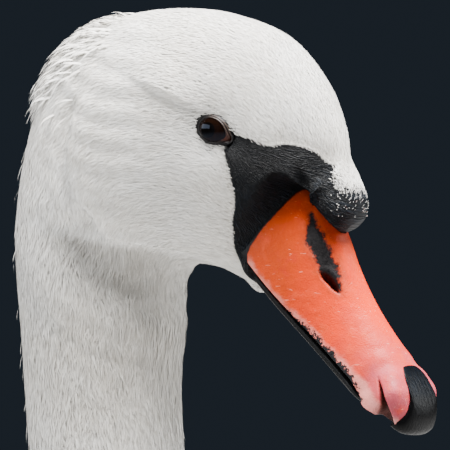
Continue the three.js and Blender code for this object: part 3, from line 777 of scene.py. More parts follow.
def bill_material():
    """Horny skin of the bill: orange at its base, darker there as painted shade near the face,
    salmon and pink at its tip, blotched red and scratched pale, with a slate patch round the
    nostril, a black mottled mouth edge with pale teeth and a thin pale rim above it."""
    t = Material("bill_orange", Specular_IOR_Level=0.12)
    place = t.place()
    drift = t.times(t.less(t.noise(place, 70.0, 4.0), 0.5), 0.45)
    ramp = t.add("ShaderNodeValToRGB", {"Fac": t.plus(t.attribute("along"), drift)})
    stops = ramp.color_ramp.elements
    for position, _ in BILL_RAMP[1:-1]:
        stops.new(position)
    for stop, (_, colour) in zip(stops, BILL_RAMP):
        stop.color = rgba(*colour)
    skin = ramp.outputs["Color"]
    rough_edge = t.less(t.noise(place, 700.0, 5.0, 0.65), 0.5)

    def spot(name, raggedness, low=-0.35, high=0.35):
        """A mask over an outline stored as a distance, with a ragged edge."""
        ragged = t.plus(t.attribute(name), t.times(rough_edge, raggedness))
        return t.between(ragged, low, high, 1.0, 0.0)

    red = t.between(t.noise(place, 150.0, 5.0, 0.62), 0.50, 0.70, 0.0, 0.55)
    skin = t.blend(red, skin, rgba(0.50, 0.024, 0.010))
    pale = t.noise(t.scaled(place, 1.0, 1.3, 0.8), 210.0, 5.0, 0.6)
    skin = t.blend(t.between(pale, 0.53, 0.74, 0.0, 0.40), skin, rgba(0.70, 0.078, 0.022))
    grain = t.blend(t.noise(place, 1300.0, 2.0), rgba(0.72, 0.62, 0.58), rgba(1.0, 1.0, 1.0))
    skin = t.blend(0.5, skin, grain, "MULTIPLY")
    scratch = t.between(t.noise(t.scaled(place, 260.0, 900.0, 1500.0), 1.0, 2.0), 0.66, 0.74)
    skin = t.blend(t.times(scratch, 0.35), skin, rgba(0.80, 0.33, 0.24))
    slow_edge = t.less(t.noise(place, 190.0, 2.0), 0.5)
    edges = t.plus(t.times(rough_edge, 2.0), t.times(slow_edge, 4.0))
    rim = t.between(t.plus(t.attribute("rim_edge"), edges), -1.0, 1.4, 0.60, 0.0)
    skin = t.blend(rim, skin, rgba(0.62, 0.27, 0.23))
    shade = t.times(spot("nostril_edge", 5.0, 0.0, 2.4), 0.45)
    skin = t.blend(shade, skin, rgba(0.22, 0.035, 0.012))
    slate = t.mottled(rgba(0.0035, 0.0032, 0.0035), rgba(0.016, 0.0145, 0.0155), place,
                      300.0, 1500.0, 0.5)
    skin = t.blend(spot("nostril_edge", 3.4, -0.7, 0.45), skin, slate)
    skin = t.blend(spot("mouth_edge", 6.5, -0.2, 0.5), skin, rgba(0.008, 0.007, 0.008))
    skin = t.blend(spot("base_edge", 1.2), skin, BLACK_SKIN)
    # Painted shade: the sunk nostril hole is painted near black, with reddish tissue in it.
    inside = t.blend(t.noise(place, 500.0), rgba(0.002, 0.001, 0.001), rgba(0.10, 0.006, 0.003))
    skin = t.blend(spot("hole_edge", 0.0, -0.5, 0.3), skin, inside)
    # Painted shade: the sunk slit beside the hook is painted near black, with reddish tissue in
    # it.
    cleft = t.blend(t.noise(place, 420.0), rgba(0.012, 0.003, 0.003), rgba(0.11, 0.035, 0.028))
    skin = t.blend(spot("slit_edge", 0.0, -0.5, 0.2), skin, cleft)
    t.feed("Base Color", skin)
    dents = t.noise(place, 240.0, 2.0)
    t.feed("Roughness", t.between(dents, 0.2, 0.8, 0.36, 0.52))
    t.bump(t.plus(t.times(t.noise(place, 2200.0), 0.35), dents), 0.0003)
    return t.made


def horn_material(name, dark, light, roughness, fibre, gloss=0.12):
    """Horn with fine fibres: the bill's nail and mandible, and the claws."""
    t = Material(name, Specular_IOR_Level=gloss)
    place = t.place()
    fibres = t.noise(t.scaled(place, *fibre), 1.0)
    # The attribute read here makes the horn lighter: the paler horn of the mandible's lower edge
    # and the claws' roots, and painted sky reflection on the nail's upper face.
    wear_and_sheen = t.between(t.attribute("wear_and_sheen"), 0.0, 1.0)
    mixed = t.times(wear_and_sheen, t.between(fibres, 0.2, 0.75))
    t.feed("Base Color", t.blend(mixed, rgba(*dark), rgba(*light)))
    grain = t.noise(place, 1400.0, 2.0)
    t.feed("Roughness", t.between(grain, 0.2, 0.8, roughness - 0.08, roughness + 0.1))
    t.bump(fibres, 0.00015)
    return t.made


def eye_material():
    """A wet eye: black pupil and dark brown iris, with a cool shine."""
    t = Material("dark_eye", Roughness=0.05, Specular_IOR_Level=0.09,
                 Specular_Tint=rgba(0.55, 0.68, 1.0))
    centre = t.attribute("from_axis")
    rays = t.noise(t.scaled(t.place(), 900.0, 900.0, 900.0), 1.0, 2.0)
    iris = t.blend(rays, rgba(0.0022, 0.0010, 0.0007), rgba(0.0080, 0.0032, 0.0018))
    pupil = t.between(centre, 0.30, 0.36, 1.0, 0.0)
    rim = t.between(centre, 0.62, 0.74)
    eye = t.blend(pupil, iris, rgba(0.0015, 0.0012, 0.0012))
    t.feed("Base Color", t.blend(rim, eye, rgba(0.004, 0.003, 0.003)))
    return t.made


def lid_material():
    """Thin dark lids, brown on their ridges and reddish in the front corner."""
    t = Material("eyelid_skin", Specular_IOR_Level=0.2)
    ridge = t.between(t.attribute("ridge"), 0.2, 0.9)
    brown = t.blend(ridge, rgba(0.003, 0.0026, 0.003), rgba(0.060, 0.042, 0.034))
    dark = t.blend(t.times(t.attribute("corner"), 0.75), brown, rgba(0.055, 0.014, 0.008))
    t.feed("Base Color", t.blend(t.attribute("under_plush"), dark, WHITE))
    grain = t.noise(t.place(), 2600.0)
    t.feed("Roughness", t.between(grain, 0.2, 0.8, 0.30, 0.5))
    t.bump(grain, 0.00012)
    return t.made


def leg_material():
    """Dark grey scaled skin of the legs and webs."""
    t = Material("leg_skin", Specular_IOR_Level=0.45)
    place = t.place()
    scales = t.add("ShaderNodeTexVoronoi", {"Vector": place, "Scale": 420.0},
                   feature="DISTANCE_TO_EDGE").outputs["Distance"]
    plates = t.between(scales, 0.0, 0.12)
    colour = t.mottled(rgba(0.030, 0.032, 0.036), rgba(0.075, 0.076, 0.080), place,
                       60.0, 900.0, 0.4)
    t.feed("Base Color", t.blend(plates, rgba(0.015, 0.016, 0.018), colour))
    t.feed("Roughness", t.between(plates, 0.0, 1.0, 0.65, 0.48))
    t.bump(plates, 0.0004)
    return t.made


def floor_material():
    """A plain pale studio floor."""
    t = Material("pale_floor", Roughness=0.7)
    t.feed("Base Color", t.mottled(rgba(0.45, 0.45, 0.445), rgba(0.43, 0.43, 0.428),
                                   t.place(), 3.0, 300.0, 0.4))
    return t.made


# ------------------------------------------------------------------ camera, floor and light

def make_camera():
    """A long lens, level with the head, a little ahead of the bird's right side."""
    azimuth, elevation = math.radians(30), math.radians(2)
    distance, framed = 2.6, 0.1406  # metres to the head, and metres seen across it
    aim_side, aim_right, aim_down = -0.0232, 0.0044, 0.0297  # the aim, from between the eyes
    back = Vector((math.sin(azimuth) * math.cos(elevation),
                   -math.cos(azimuth) * math.cos(elevation), math.sin(elevation)))
    right = Vector((math.cos(azimuth), math.sin(azimuth), 0))
    up = back.cross(right)
    middle = (eye_low + eye_high) / 2
    aim = Vector((middle.x, aim_side, middle.z)) + right * aim_right - up * aim_down
    data = bpy.data.cameras.new("head_camera")
    data.sensor_width = 36
    data.lens = 36 * distance / framed
    data.clip_start, data.clip_end = 0.05, 100
    camera = bpy.data.objects.new("head_camera", data)
    bpy.context.scene.collection.objects.link(camera)
    camera.location = aim + back * distance
    camera.rotation_mode = "QUATERNION"
    camera.rotation_quaternion = (-back).to_track_quat("-Z", "Y")
    bpy.context.scene.camera = camera


def make_floor():
    """A flat round disc: rings of points around the middle."""
    radius, rings, spokes = 8000.0, 12, 96
    r = np.linspace(0, 1, rings)[1:, None] ** 2 * radius
    angle = 2 * np.pi * round_turn(spokes)
    flat = xyz(r * np.cos(angle), r * np.sin(angle), 0.0)
    points = np.vstack([flat.reshape(-1, 3), [[0, 0, 0]]])
    quads = grid_faces(rings - 1, spokes, closed=True)[:, ::-1]
    middle = fan(np.arange(spokes), len(points) - 1)
    mesh = bpy.data.meshes.new("studio_floor")
    mesh.from_pydata((points * MM).tolist(), [], quads.tolist() + middle.tolist())
    floor = bpy.data.objects.new("studio_floor", mesh)
    bpy.context.scene.collection.objects.link(floor)
    mesh.materials.append(floor_material())


def make_light(name, place, aim, size, watts, colour):
    """A soft square light that the camera doesn't see."""
    data = bpy.data.lights.new(name, "AREA")
    data.shape = "RECTANGLE"
    data.size, data.size_y = size
    data.energy = watts
    data.color = colour
    light = bpy.data.objects.new(name, data)
    bpy.context.scene.collection.objects.link(light)
    light.location = place
    light.rotation_mode = "QUATERNION"
    light.rotation_quaternion = (Vector(aim) - Vector(place)).to_track_quat("-Z", "Y")
    light.visible_camera = False


def make_studio():
    """Strong soft light from above and ahead, weaker ones from the far side, behind and the
    camera's side, and a dark blue-grey world behind the bird."""
    make_floor()
    head = (0.33, 0.0, 0.6)
    make_light("overhead", (0.95, -0.05, 2.95), head, (1.5, 1.5), 500, (1.0, 0.99, 0.975))
    make_light("far_side", (2.0, 1.65, 1.3), head, (1.3, 1.5), 46, (0.95, 0.98, 1.0))
    make_light("behind", (-1.3, -1.65, 1.3), head, (2.4, 0.8), 66, (0.95, 0.98, 1.0))
    make_light("camera_side", (1.4, -3.4, 1.5), head, (3.2, 2.4), 7, (1.0, 0.98, 0.95))
    world = bpy.data.worlds.new("studio_world")
    bpy.context.scene.world = world
    world.use_nodes = True
    background = next(n for n in world.node_tree.nodes if n.type == "BACKGROUND")
    background.inputs["Color"].default_value = rgba(0.0135, 0.0185, 0.0255)
    background.inputs["Strength"].default_value = 1.0


# ------------------------------------------------------------------ bill's outline

# Share of the bill's length, ridge height, lower edge, half width, squareness
UPPER_BILL = [
    [-0.03, 25.2, -2.4, 15.2, 0.86],
    [0.06, 25.2, -3.2, 15.9, 0.85],
    [0.20, 22.4, -3.6, 15.6, 0.84],
    [0.34, 17.8, -3.6, 14.4, 0.84],
    [0.48, 14.4, -3.2, 13.6, 0.82],
    [0.62, 12.2, -2.7, 13.8, 0.76],
    [0.70, 11.3, -2.4, 14.2, 0.68],
    [0.76, 10.5, -3.0, 14.4, 0.60],
    [0.81, 9.9, -4.2, 15.2, 0.52],
    [0.87, 8.3, -3.0, 15.1, 0.43],
    [0.93, 5.5, -2.6, 12.7, 0.54],
    [0.97, 2.6, -2.4, 9.2, 0.58],
]
LOWER_BILL = [
    [-0.03, -2.0, -6.4, 12.6, 0.7],
    [0.08, -3.2, -6.9, 13.6, 0.62],
    [0.26, -3.6, -7.1, 13.4, 0.60],
    [0.50, -3.0, -6.9, 12.4, 0.60],
    [0.68, -2.2, -6.4, 13.2, 0.62],
    [0.76, -2.4, -5.8, 13.6, 0.66],
    [0.82, -3.0, -5.0, 11.0, 0.80],
    [0.90, -2.7, -4.2, 5.0, 0.90],
]


def upper_bill_reach(along, height):
    """The upper bill's half width at a place along it and a height."""
    top, low, half, square = np.moveaxis(keyed(UPPER_BILL, along / BILL_LENGTH), -1, 0)
    up = np.clip((height - low - 0.5) / (top - low - 0.5), 0, 1)
    across = np.sqrt(1 - up ** (2 / square)) ** square
    return across * (1 - 0.22 * up) * half, top


# ------------------------------------------------------------------ skin

LID_CENTRE = EYE + np.array([0.9, 0.15])
LID_TILT = math.radians(-30)
LID_LONG, LID_SHORT = 4.5, 3.5  # half the opening's length and height


def near_eye(x, z):
    """Distance from the middle of the lids' opening in rings of its shape: 1 at its edge."""
    dx, dz = x - LID_CENTRE[0], z - LID_CENTRE[1]
    c, s = math.cos(LID_TILT), math.sin(LID_TILT)
    return np.hypot((dx * c + dz * s) / LID_LONG, (dz * c - dx * s) / LID_SHORT)


# The edge where the face's skin ends on the bill: height over the mouth's corner, place along
BASE_EDGE = np.array([
    [-9.0, 8.4], [-3.6, 7.8], [-2.8, 6.0], [-1.8, 4.3], [-0.5, 3.5], [1.5, 2.8], [4.0, 2.0],
    [10.0, 0.9], [15.0, 0.3],
    [19.5, -0.4], [22.5, -0.6], [25.0, 0.4]])


def bare_distance(x, z):
    """Distance to the bare skin's edge, below zero on it."""
    return outline_distance(np.stack([x - EYE[0], z - EYE[1]], axis=-1), BARE_OUTLINE)


def coat_depth(place):
    """Depth of the coat over the skin, from the head to the trunk."""
    return np.interp(place, [HEAD_AT, HEAD_AT + 6, NECK_AT, TRUNK_AT, TRUNK_AT + 4, RUMP_AT],
                     [1.2, 1.5, 2.2, 3.0, 3.6, 3.6])


def skin_depth(place, surface):
    """How deep the skin lies under the body's outer surface: the coat's depth where it is
    feathered, hardly at all where it is bare, and sunk into the eye's socket."""
    x, z = surface[..., 0], surface[..., 2]
    on_face = place < NECK_AT
    bare = np.where(on_face, bare_distance(x, z), 99.0)
    depth = mix(0.25, coat_depth(place), smooth(bare, -0.6, 1.4))
    socket = np.where(on_face, smooth(near_eye(x, z), 1.8, 1.3), 0.0)
    return depth + 5.0 * socket


def onto_bill(points, place):
    """Points of the face brought down to the bill: over the last few millimetres before the
    edge of the bill's base their distance from the middle plane blends to the bill's own half
    width, and past the edge they lie inside the bill. The knob keeps its own shape."""
    x, side, z = np.moveaxis(points, -1, 0)
    along, height = bill_frame(x, z)
    reach, top = upper_bill_reach(np.clip(along, -2, 60), np.maximum(height, -3.0))
    edge = np.interp(height, BASE_EDGE[:, 0], BASE_EDGE[:, 1])
    past = along - edge
    share = smooth(past, -8.0, 0.0) ** 1.5 * smooth(height, -8.3, -6.5)
    on_knob = smooth(place, 4.8, 3.8) * smooth(height, 21.8, 24.4)
    share = share * smooth(height, top + 1.4, top - 1.8) * (1 - on_knob)
    goal = reach + 0.12 - 2.0 * smooth(past, 0.0, 0.9)
    widest = np.abs(side) + 3.0 * smooth(np.abs(side), 5.0, 9.0)
    width = mix(np.abs(side), np.minimum(widest, goal), share)
    return xyz(x, np.sign(side) * np.maximum(width, 0), z)


def brow_and_folds(x, z, side):
    """Small forms of the head, outward: the brow's step over a line that runs back and up
    from the eye, the fold behind the cheek with a pit at its end, the neck's step in under
    the jaw, slow waves in the plush, and a groove between the lore and the knob."""
    dx, dz = x - EYE[0], z - EYE[1]
    line = dz - (6.5 - 0.42 * (dx + 4.0))
    on_brow = np.exp(-((dx + 15.0) / 11.0) ** 2) * (np.abs(side) > 8)
    crease = 2.1 * smooth(line, -1.0, 1.0) * np.exp(-(np.maximum(line, 0) / 9.0) ** 2)
    along, height = bill_frame(x, z)
    over_line = height - 27.0 + 0.36 * (along - 3.8)
    groove = -1.1 * np.exp(-(over_line / 1.1) ** 2) * smooth(along, -6.0, 1.0) * smooth(
        along, 8.0, 4.5) * (np.abs(side) > 2)
    past_cheek = np.hypot(x - CHEEK[0], z - CHEEK[1]) - CHEEK_CREASE
    behind = smooth(dx, -24.0, -36.0) * smooth(dz, -38.0, -28.0) * smooth(dz, 14.0, 4.0)
    fold = -2.6 * np.exp(-(past_cheek / 2.6) ** 2) * behind
    pit = -1.6 * np.exp(-((dx + 44.0) ** 2 + (dz + 31.0) ** 2) / 45.0)
    outside = np.maximum(past_cheek, -JAW_DROP - JAW_SLOPE * dx - dz)
    under_jaw = smooth(dz, -24.0, -32.0) * smooth(np.abs(side), 7.0, 16.0) * smooth(
        dx, 0.0, -9.0)
    jaw = -4.4 * smooth(outside, -1.2, 1.8) * smooth(outside, 26.0, 3.0) * under_jaw
    waves = 0.26 * np.sin(0.30 * dx + 0.75 * dz + 2.2 * np.sin(0.11 * dx)) * smooth(
        dx, -14.0, -30.0) * smooth(dx, -70.0, -46.0)
    return crease * on_brow + groove + jaw + (fold + pit + waves) * (np.abs(side) > 6)


def outer_surface(place, turn):
    """The body's outer surface with the head's small forms added along its normal."""
    base = body_surface(place, turn)
    normal = surface_normal(body_surface, place, turn)
    small = np.where(place < NECK_AT, brow_and_folds(base[..., 0], base[..., 2], base[..., 1]), 0)
    formed = base + normal * small[..., None]
    return np.where((place < NECK_AT)[..., None], onto_bill(formed, place), formed)


def body_skin():
    """The skin of knob, head, neck and trunk: the outer surface moved in by the skin's depth,
    on a grid that is finest on the face, closed at both ends."""
    spans = ((0.02, HEAD_AT, 60), (HEAD_AT, HEAD_AT + 5, 150), (HEAD_AT + 5, NECK_AT, 90),
             (NECK_AT, TRUNK_AT, 60))
    places = np.concatenate([*(np.linspace(*span, endpoint=False) for span in spans),
                             np.linspace(TRUNK_AT, RUMP_AT, 70)])
    place, turn = grid(places, round_turn(192))
    outer = outer_surface(place, turn)
    along_turn = np.roll(outer, -1, axis=1) - np.roll(outer, 1, axis=1)
    normal = unit(np.cross(np.gradient(outer, places, axis=0), along_turn))
    points = outer - normal * skin_depth(place, outer)[..., None]
    points[..., 2] = np.maximum(points[..., 2], 1.0)  # a little over the floor
    bare = np.where(place < NECK_AT, bare_distance(outer[..., 0], outer[..., 2]), 20.0)
    corner = EYE + np.array([3.0, -2.0])
    dx, dz = outer[..., 0] - corner[0], outer[..., 2] - corner[1]
    flow = np.stack([np.arctan2(dz, dx) * 17.0, np.hypot(dx, dz)], axis=-1)
    return *closed_loft(points), (with_ends(bare[..., None]), with_ends(flow))


def plain_part(rings):
    """A feathered part of the skin, far from the bare face."""
    points, quads, triangles = closed_loft(rings)
    far, still = np.full(len(points), 20.0), np.zeros((len(points), 2))
    return points, quads, triangles, (far, still)


# ------------------------------------------------------------------ wings and tail

WING_WRIST, WING_TIP = 180.0, -428.0
# Share of the wing's length from wrist to tip: upper edge, lower edge, widest reach, side
# place of the upper edge
WING_KEYS = np.array([
    [0.00, 206, 168, 104, 84],
    [0.06, 252, 126, 138, 70],
    [0.14, 287, 103, 163, 46],
    [0.25, 312, 90, 184, 20],
    [0.38, 326, 86, 193, 6],
    [0.50, 327, 92, 189, 3],
    [0.62, 314, 112, 172, 3],
    [0.74, 290, 144, 138, 3],
    [0.85, 262, 178, 94, 3],
    [0.94, 241, 204, 58, 3],
    [1.00, 229, 216, 30, 8],
])


def wing_surface(share, arc):
    """The folded left wing's outer face: at each share of its length an arc runs from the
    lower edge (0) out to the widest reach and in to the upper edge (1)."""
    top, low, reach, inner = np.moveaxis(keyed(WING_KEYS, share), -1, 0)
    middle = mix(low, top, 0.42)
    foot = reach - 0.16 * (top - low)
    turn = np.clip(1 - arc, 0.001, 0.999) * np.pi
    upper = arc > 0.5
    bow = np.maximum(np.sin(turn), 0)
    y = np.where(upper, mix(inner, reach, bow ** 0.94), mix(foot, reach, bow))
    z = np.where(upper, middle + (top - middle) * np.maximum(np.cos(turn), 0) ** 0.94,
                 middle + (middle - low) * np.cos(turn))
    return xyz(mix(WING_WRIST, WING_TIP, share), y, z)


def wing_skin(sign):
    """The wing under its feathers: its outer face moved in, closed by a deeper inner face."""
    share, arc = grid(np.linspace(0.01, 0.985, 40), np.linspace(0.02, 0.98, 26))
    outer = wing_surface(share, arc)
    normal = surface_normal(wing_surface, share, arc)
    rim = np.sin(arc * np.pi) ** 0.5
    face = outer - normal * 4.0
    back = outer - normal * (5.0 + 9.0 * rim)[..., None]
    rings = np.concatenate([face, back[:, ::-1]], axis=1) * np.array([1, sign, 1])
    return plain_part(rings)


TAIL_ROOT, TAIL_TIP = -300.0, -548.0
TAIL_BOW = 9  # how far its edges hang under its middle


def tail_line(share):
    """The tail's height, half width and half thickness at a share of its length."""
    half = (46.0 + 46.0 * share) * np.maximum(1 - share ** 2.4, 0) ** 0.8
    thick = mix(20.0, 2.0, share ** 0.8)
    return mix(186.0, 214.0, share), half, thick


def tail_skin():
    """The tail's root under its feathers, a flat tapering loft."""
    share, angle = grid(np.linspace(0, 0.62, 14), 2 * np.pi * round_turn(28))
    height, half, thick = tail_line(share)
    side = np.cos(angle)
    rings = xyz(mix(TAIL_ROOT, TAIL_TIP, share), side * (half - 7.0),
                height + (thick * 0.8 - 2.0) * np.sin(angle) - TAIL_BOW * side ** 2)
    return plain_part(rings)


def make_skin():
    """One skin for knob, head, neck, trunk, wings and tail."""
    *mesh, (bare, flow) = joined([body_skin(), wing_skin(1), wing_skin(-1), tail_skin()])
    skin = make_piece("swan_skin", *mesh, skin_material(), "plumage",
                      maps={"Flow": flow}, values={"bare_edge": bare})
    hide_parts("head", "neck_upper", "neck_middle", "neck_lower", "trunk", "knob",
                "wing_left", "wing_right", "tail")


# ------------------------------------------------------------------ coat of head and neck

BODY_SPAN = (1 / RUMP_AT, 1.0)
HEAD_GROUND = Ground(outer_surface, (0.0, NECK_AT + 2.5), (0, 1), (1400, 360), wraps=True)
BODY_GROUND = Ground(body_surface, (NECK_AT - 3.0, RUMP_AT), (0, 1), (700, 300), wraps=True)
NAPE_GROUND = Ground(body_surface, (HEAD_AT, TRUNK_AT + 2.0), (0, 1), (700, 300), wraps=True)


def kept_off_face(part):
    """The part without the tufts that reach over the eye's lids or root in bare skin."""
    points, quads, triangles, extras = part
    count, each = points.shape[:2]
    off_lids, into_bare = 1.24, -1.0
    x, z = points[..., 0], points[..., 2]
    keep = near_eye(x, z).min(axis=1) > off_lids
    keep &= bare_distance(x[:, 0], z[:, 0]) > into_bare
    shift = ((np.cumsum(keep) - 1 - np.arange(count)) * each)[keep][:, None, None]

    def kept(faces):
        """The kept tufts' faces, numbered over the kept points."""
        corners = faces.shape[1]
        return (faces.reshape(count, -1, corners)[keep] + shift).reshape(-1, corners)

    return points[keep], kept(quads), kept(triangles), tuple(e[keep] for e in extras)


def lock_waves(at):
    """Slow waves over the head that turn neighbouring tufts the same way, from -1 to 1."""
    x, z = at[..., 0], at[..., 2]
    return (0.6 * np.sin(0.21 * x + 0.33 * z + 1.7 * np.sin(0.09 * x - 0.05 * z))
            + 0.4 * np.sin(0.47 * x - 0.29 * z + 2.0))


def head_tufts(places, count, seed):
    """Plush of the head: short narrow tufts, longer towards the nape, shortest by the bare
    skin and the eye."""
    rng = np.random.default_rng(seed)
    weight = lambda u, v, at: smooth(bare_distance(at[..., 0], at[..., 2]), -1.0, 0.3)
    u, v = scattered(HEAD_GROUND, places, (0, 1), count, weight, rng)
    at = HEAD_GROUND.look(u, v)[0]
    bare = bare_distance(at[:, 0], at[:, 2])
    back = smooth(u, HEAD_AT + 1, NECK_AT)
    by_edge = smooth(bare, -0.5, 7.0) ** 0.6
    by_eye = smooth(near_eye(at[:, 0], at[:, 2]), 1.2, 2.6)
    length = mix(1.0, mix(3.6, 7.5, back), by_edge) * mix(0.5, 1, by_eye)
    length = length * rng.uniform(0.7, 1.3, count)
    width = mix(0.085, mix(0.19, 0.40, back), by_edge) * mix(0.8, 1, by_eye)
    width = width * rng.uniform(0.8, 1.2, count)
    depth = np.minimum(skin_depth(u, at), mix(0.45, 1.0, back))
    return kept_off_face(laid_feathers(
        HEAD_GROUND, u, v, length, width, rng, kind="tuft",
        swing=lock_waves(at) * mix(0.16, 0.30, back) + rng.normal(0, 0.20, count),
        low=-depth * 0.9, rise=depth * 0.9 + rng.uniform(-0.10, 0.42, count) * by_edge, crown=0.0,
        curl=rng.normal(0, 0.05, count), stations=3, columns=2, last_share=0.72,
        span=BODY_SPAN))


def neck_tufts(places, count, seed):
    """Longer soft locks of the neck, which run down it and stand out a little."""
    rng = np.random.default_rng(seed)
    even = lambda u, v, at: 1.0
    u, v = scattered(BODY_GROUND, places, (0, 1), count, even, rng)
    down = smooth(u, NECK_AT, TRUNK_AT)
    length = mix(8.5, 19.0, down) * rng.uniform(0.7, 1.3, count)
    width = mix(0.50, 1.9, down) * rng.uniform(0.7, 1.3, count)
    depth = coat_depth(u) * mix(0.45, 0.8, down)
    return laid_feathers(
        BODY_GROUND, u, v, length, width, rng, kind="tuft",
        swing=rng.normal(0, 0.12, count), low=-depth * 0.9, rise=depth * 0.9 + rng.uniform(
            -0.1, 0.5, count), crown=0.0, curl=rng.normal(0, 0.07, count), stations=3,
        columns=2, last_share=0.72, span=BODY_SPAN)


def nape_wisps(count, seed):
    """Loose wisps that stand off the nape and the neck's back and front."""
    rng = np.random.default_rng(seed)
    ridge = lambda u, v, at: (
        np.exp(-((v - 0.25) / 0.075) ** 2) * smooth(u, HEAD_AT + 5.5, HEAD_AT + 6.5)
        * (1 - 0.96 * smooth(u, HEAD_AT + 7.6, HEAD_AT + 8.4))
        + 0.003 * smooth(u, NECK_AT - 2, NECK_AT))
    u, v = scattered(NAPE_GROUND, (HEAD_AT + 4.4, TRUNK_AT), (0, 1), count, ridge, rng)
    nape = np.exp(-((u - HEAD_AT - 7.0) / 1.4) ** 2)
    length = mix(7.5, 10.0, nape) * rng.uniform(0.6, 1.3, count)
    return laid_feathers(
        NAPE_GROUND, u, v, length, rng.uniform(0.25, 0.8, count), rng, kind="wisp",
        swing=rng.normal(0, 0.22, count), low=-0.8, rise=mix(1.3, 3.6, nape) * rng.uniform(
            0.3, 1.3, count) + 0.8, crown=0.3, curl=rng.normal(0, 0.12, count), stations=4,
        columns=3, last_share=0.8, span=BODY_SPAN)


def knob_specks(count, seed):
    """White feather specks on the knob's brow side, thinning out towards its bottom."""
    rng = np.random.default_rng(seed)

    def weight(u, v, at):
        bare = bare_distance(at[..., 0], at[..., 2])
        inward = np.maximum(-bare, 0)
        fade = np.exp(-(inward / 3.2) ** 2) + 0.10 * np.exp(-inward / 9.0)
        front = smooth(at[..., 0] - EYE[0], 34.0, 37.5) * np.abs(np.sin(v * 2 * np.pi)) ** 0.5
        return fade * front * (bare < 0.5) * (v > 0.02) * (v < 0.48)

    u, v = scattered(HEAD_GROUND, (0.7, HEAD_AT + 1.2), (0, 1), count, weight, rng)
    at = HEAD_GROUND.look(u, v)[0]
    near_edge = smooth(bare_distance(at[:, 0], at[:, 2]), -5.0, -0.5)
    length = rng.uniform(0.35, 0.8, count) + 1.6 * near_edge * rng.random(count)
    width = rng.uniform(0.11, 0.24, count) + 0.10 * near_edge
    return laid_feathers(
        HEAD_GROUND, u, v, length, width, rng, kind="tuft",
        swing=rng.normal(0, 0.5, count), low=-0.3, rise=0.5, crown=0.2, stations=2, columns=3,
        last_share=0.6, span=BODY_SPAN)


def make_head_and_neck_coat():
    """The plush and locks of head and neck."""
    down = down_material()
    make_coat("coat_face", [head_tufts((HEAD_AT - 0.6, HEAD_AT + 3.2), 36000, 11)], down)
    make_coat("coat_cheek", [head_tufts((HEAD_AT + 3.1, HEAD_AT + 5.6), 34000, 16)], down)
    make_coat("coat_crown", [head_tufts((HEAD_AT + 5.4, HEAD_AT + 8.6), 34000, 12)], down)
    make_coat("coat_nape", [head_tufts((HEAD_AT + 8.4, NECK_AT + 0.8), 28000, 17)], down)
    make_coat("coat_neck", [neck_tufts((NECK_AT - 0.4, TRUNK_AT + 0.8), 38000, 13)], down)
    make_coat("coat_wisps", [nape_wisps(1900, 14), knob_specks(1500, 15)], down)


# ------------------------------------------------------------------ coat of body

def body_vanes(places, count, seed, sizes):
    """Contour feathers of the trunk: rounded vanes that grow from the breast to the flanks. Only
    a few are laid under a folded wing."""
    rng = np.random.default_rng(seed)

    def weight(u, v, at):
        under = (at[..., 0] < 150) & (at[..., 0] > -330) & (at[..., 2] > 150) & (
            np.abs(at[..., 1]) > 25)
        return np.where(under, 0.12, 1.0)

    u, v = scattered(BODY_GROUND, places, (0, 1), count, weight, rng)
    along = smooth(u, TRUNK_AT - 1, RUMP_AT - 5)
    length = mix(*sizes, along) * rng.uniform(0.8, 1.2, count)
    width = length * rng.uniform(0.26, 0.36, count)
    depth = coat_depth(u)
    return laid_feathers(
        BODY_GROUND, u, v, length, width, rng, kind="vane", swing=rng.normal(0, 0.10, count),
        low=-depth * 0.95, rise=depth * 0.95, crown=0.10, curl=rng.normal(0, 0.05, count),
        stations=5, columns=5, fray=0.035, last_share=0.93, span=BODY_SPAN)


WING_GROUND = Ground(wing_surface, (-0.04, 1.14), (0.005, 0.995), (290, 200))


def wing_rows(sign, rng):
    """Covert rows of the folded wing: each row is (root's share, length, half width, count
    across the wing, height of the layer)."""
    rows = [(-0.02, 20, 8, 20, 0.6), (0.015, 22, 8.5, 24, 0.8), (0.05, 25, 9, 27, 1.0),
            (0.085, 28, 10, 28, 1.2), (0.12, 31, 11, 28, 1.4), (0.16, 35, 12, 27, 1.6),
            (0.20, 40, 13, 26, 1.7), (0.245, 46, 15, 24, 1.7), (0.29, 54, 17, 22, 1.6),
            (0.34, 64, 19, 20, 1.5), (0.40, 80, 22, 17, 1.4)]
    parts = []
    for share, length, half, count, layer in rows:
        arc = (np.arange(count) + 0.5 + rng.uniform(-0.2, 0.2, count)) / count
        root = share + 0.05 * (2 * arc - 1) ** 2 + rng.normal(0, 0.004, count)
        parts.append(laid_feathers(
            WING_GROUND, root, arc, length * rng.uniform(0.92, 1.08, count),
            half * rng.uniform(0.9, 1.1, count), rng, kind="vane",
            swing=0.10 * (arc - 0.5) + rng.normal(0, 0.05, count), low=-4.0,
            rise=3.4 + layer + rng.uniform(-0.5, 0.5, count), crown=0.10, stations=6, columns=7,
            fray=0.02, mirror=sign < 0, last_share=0.94))
    return parts


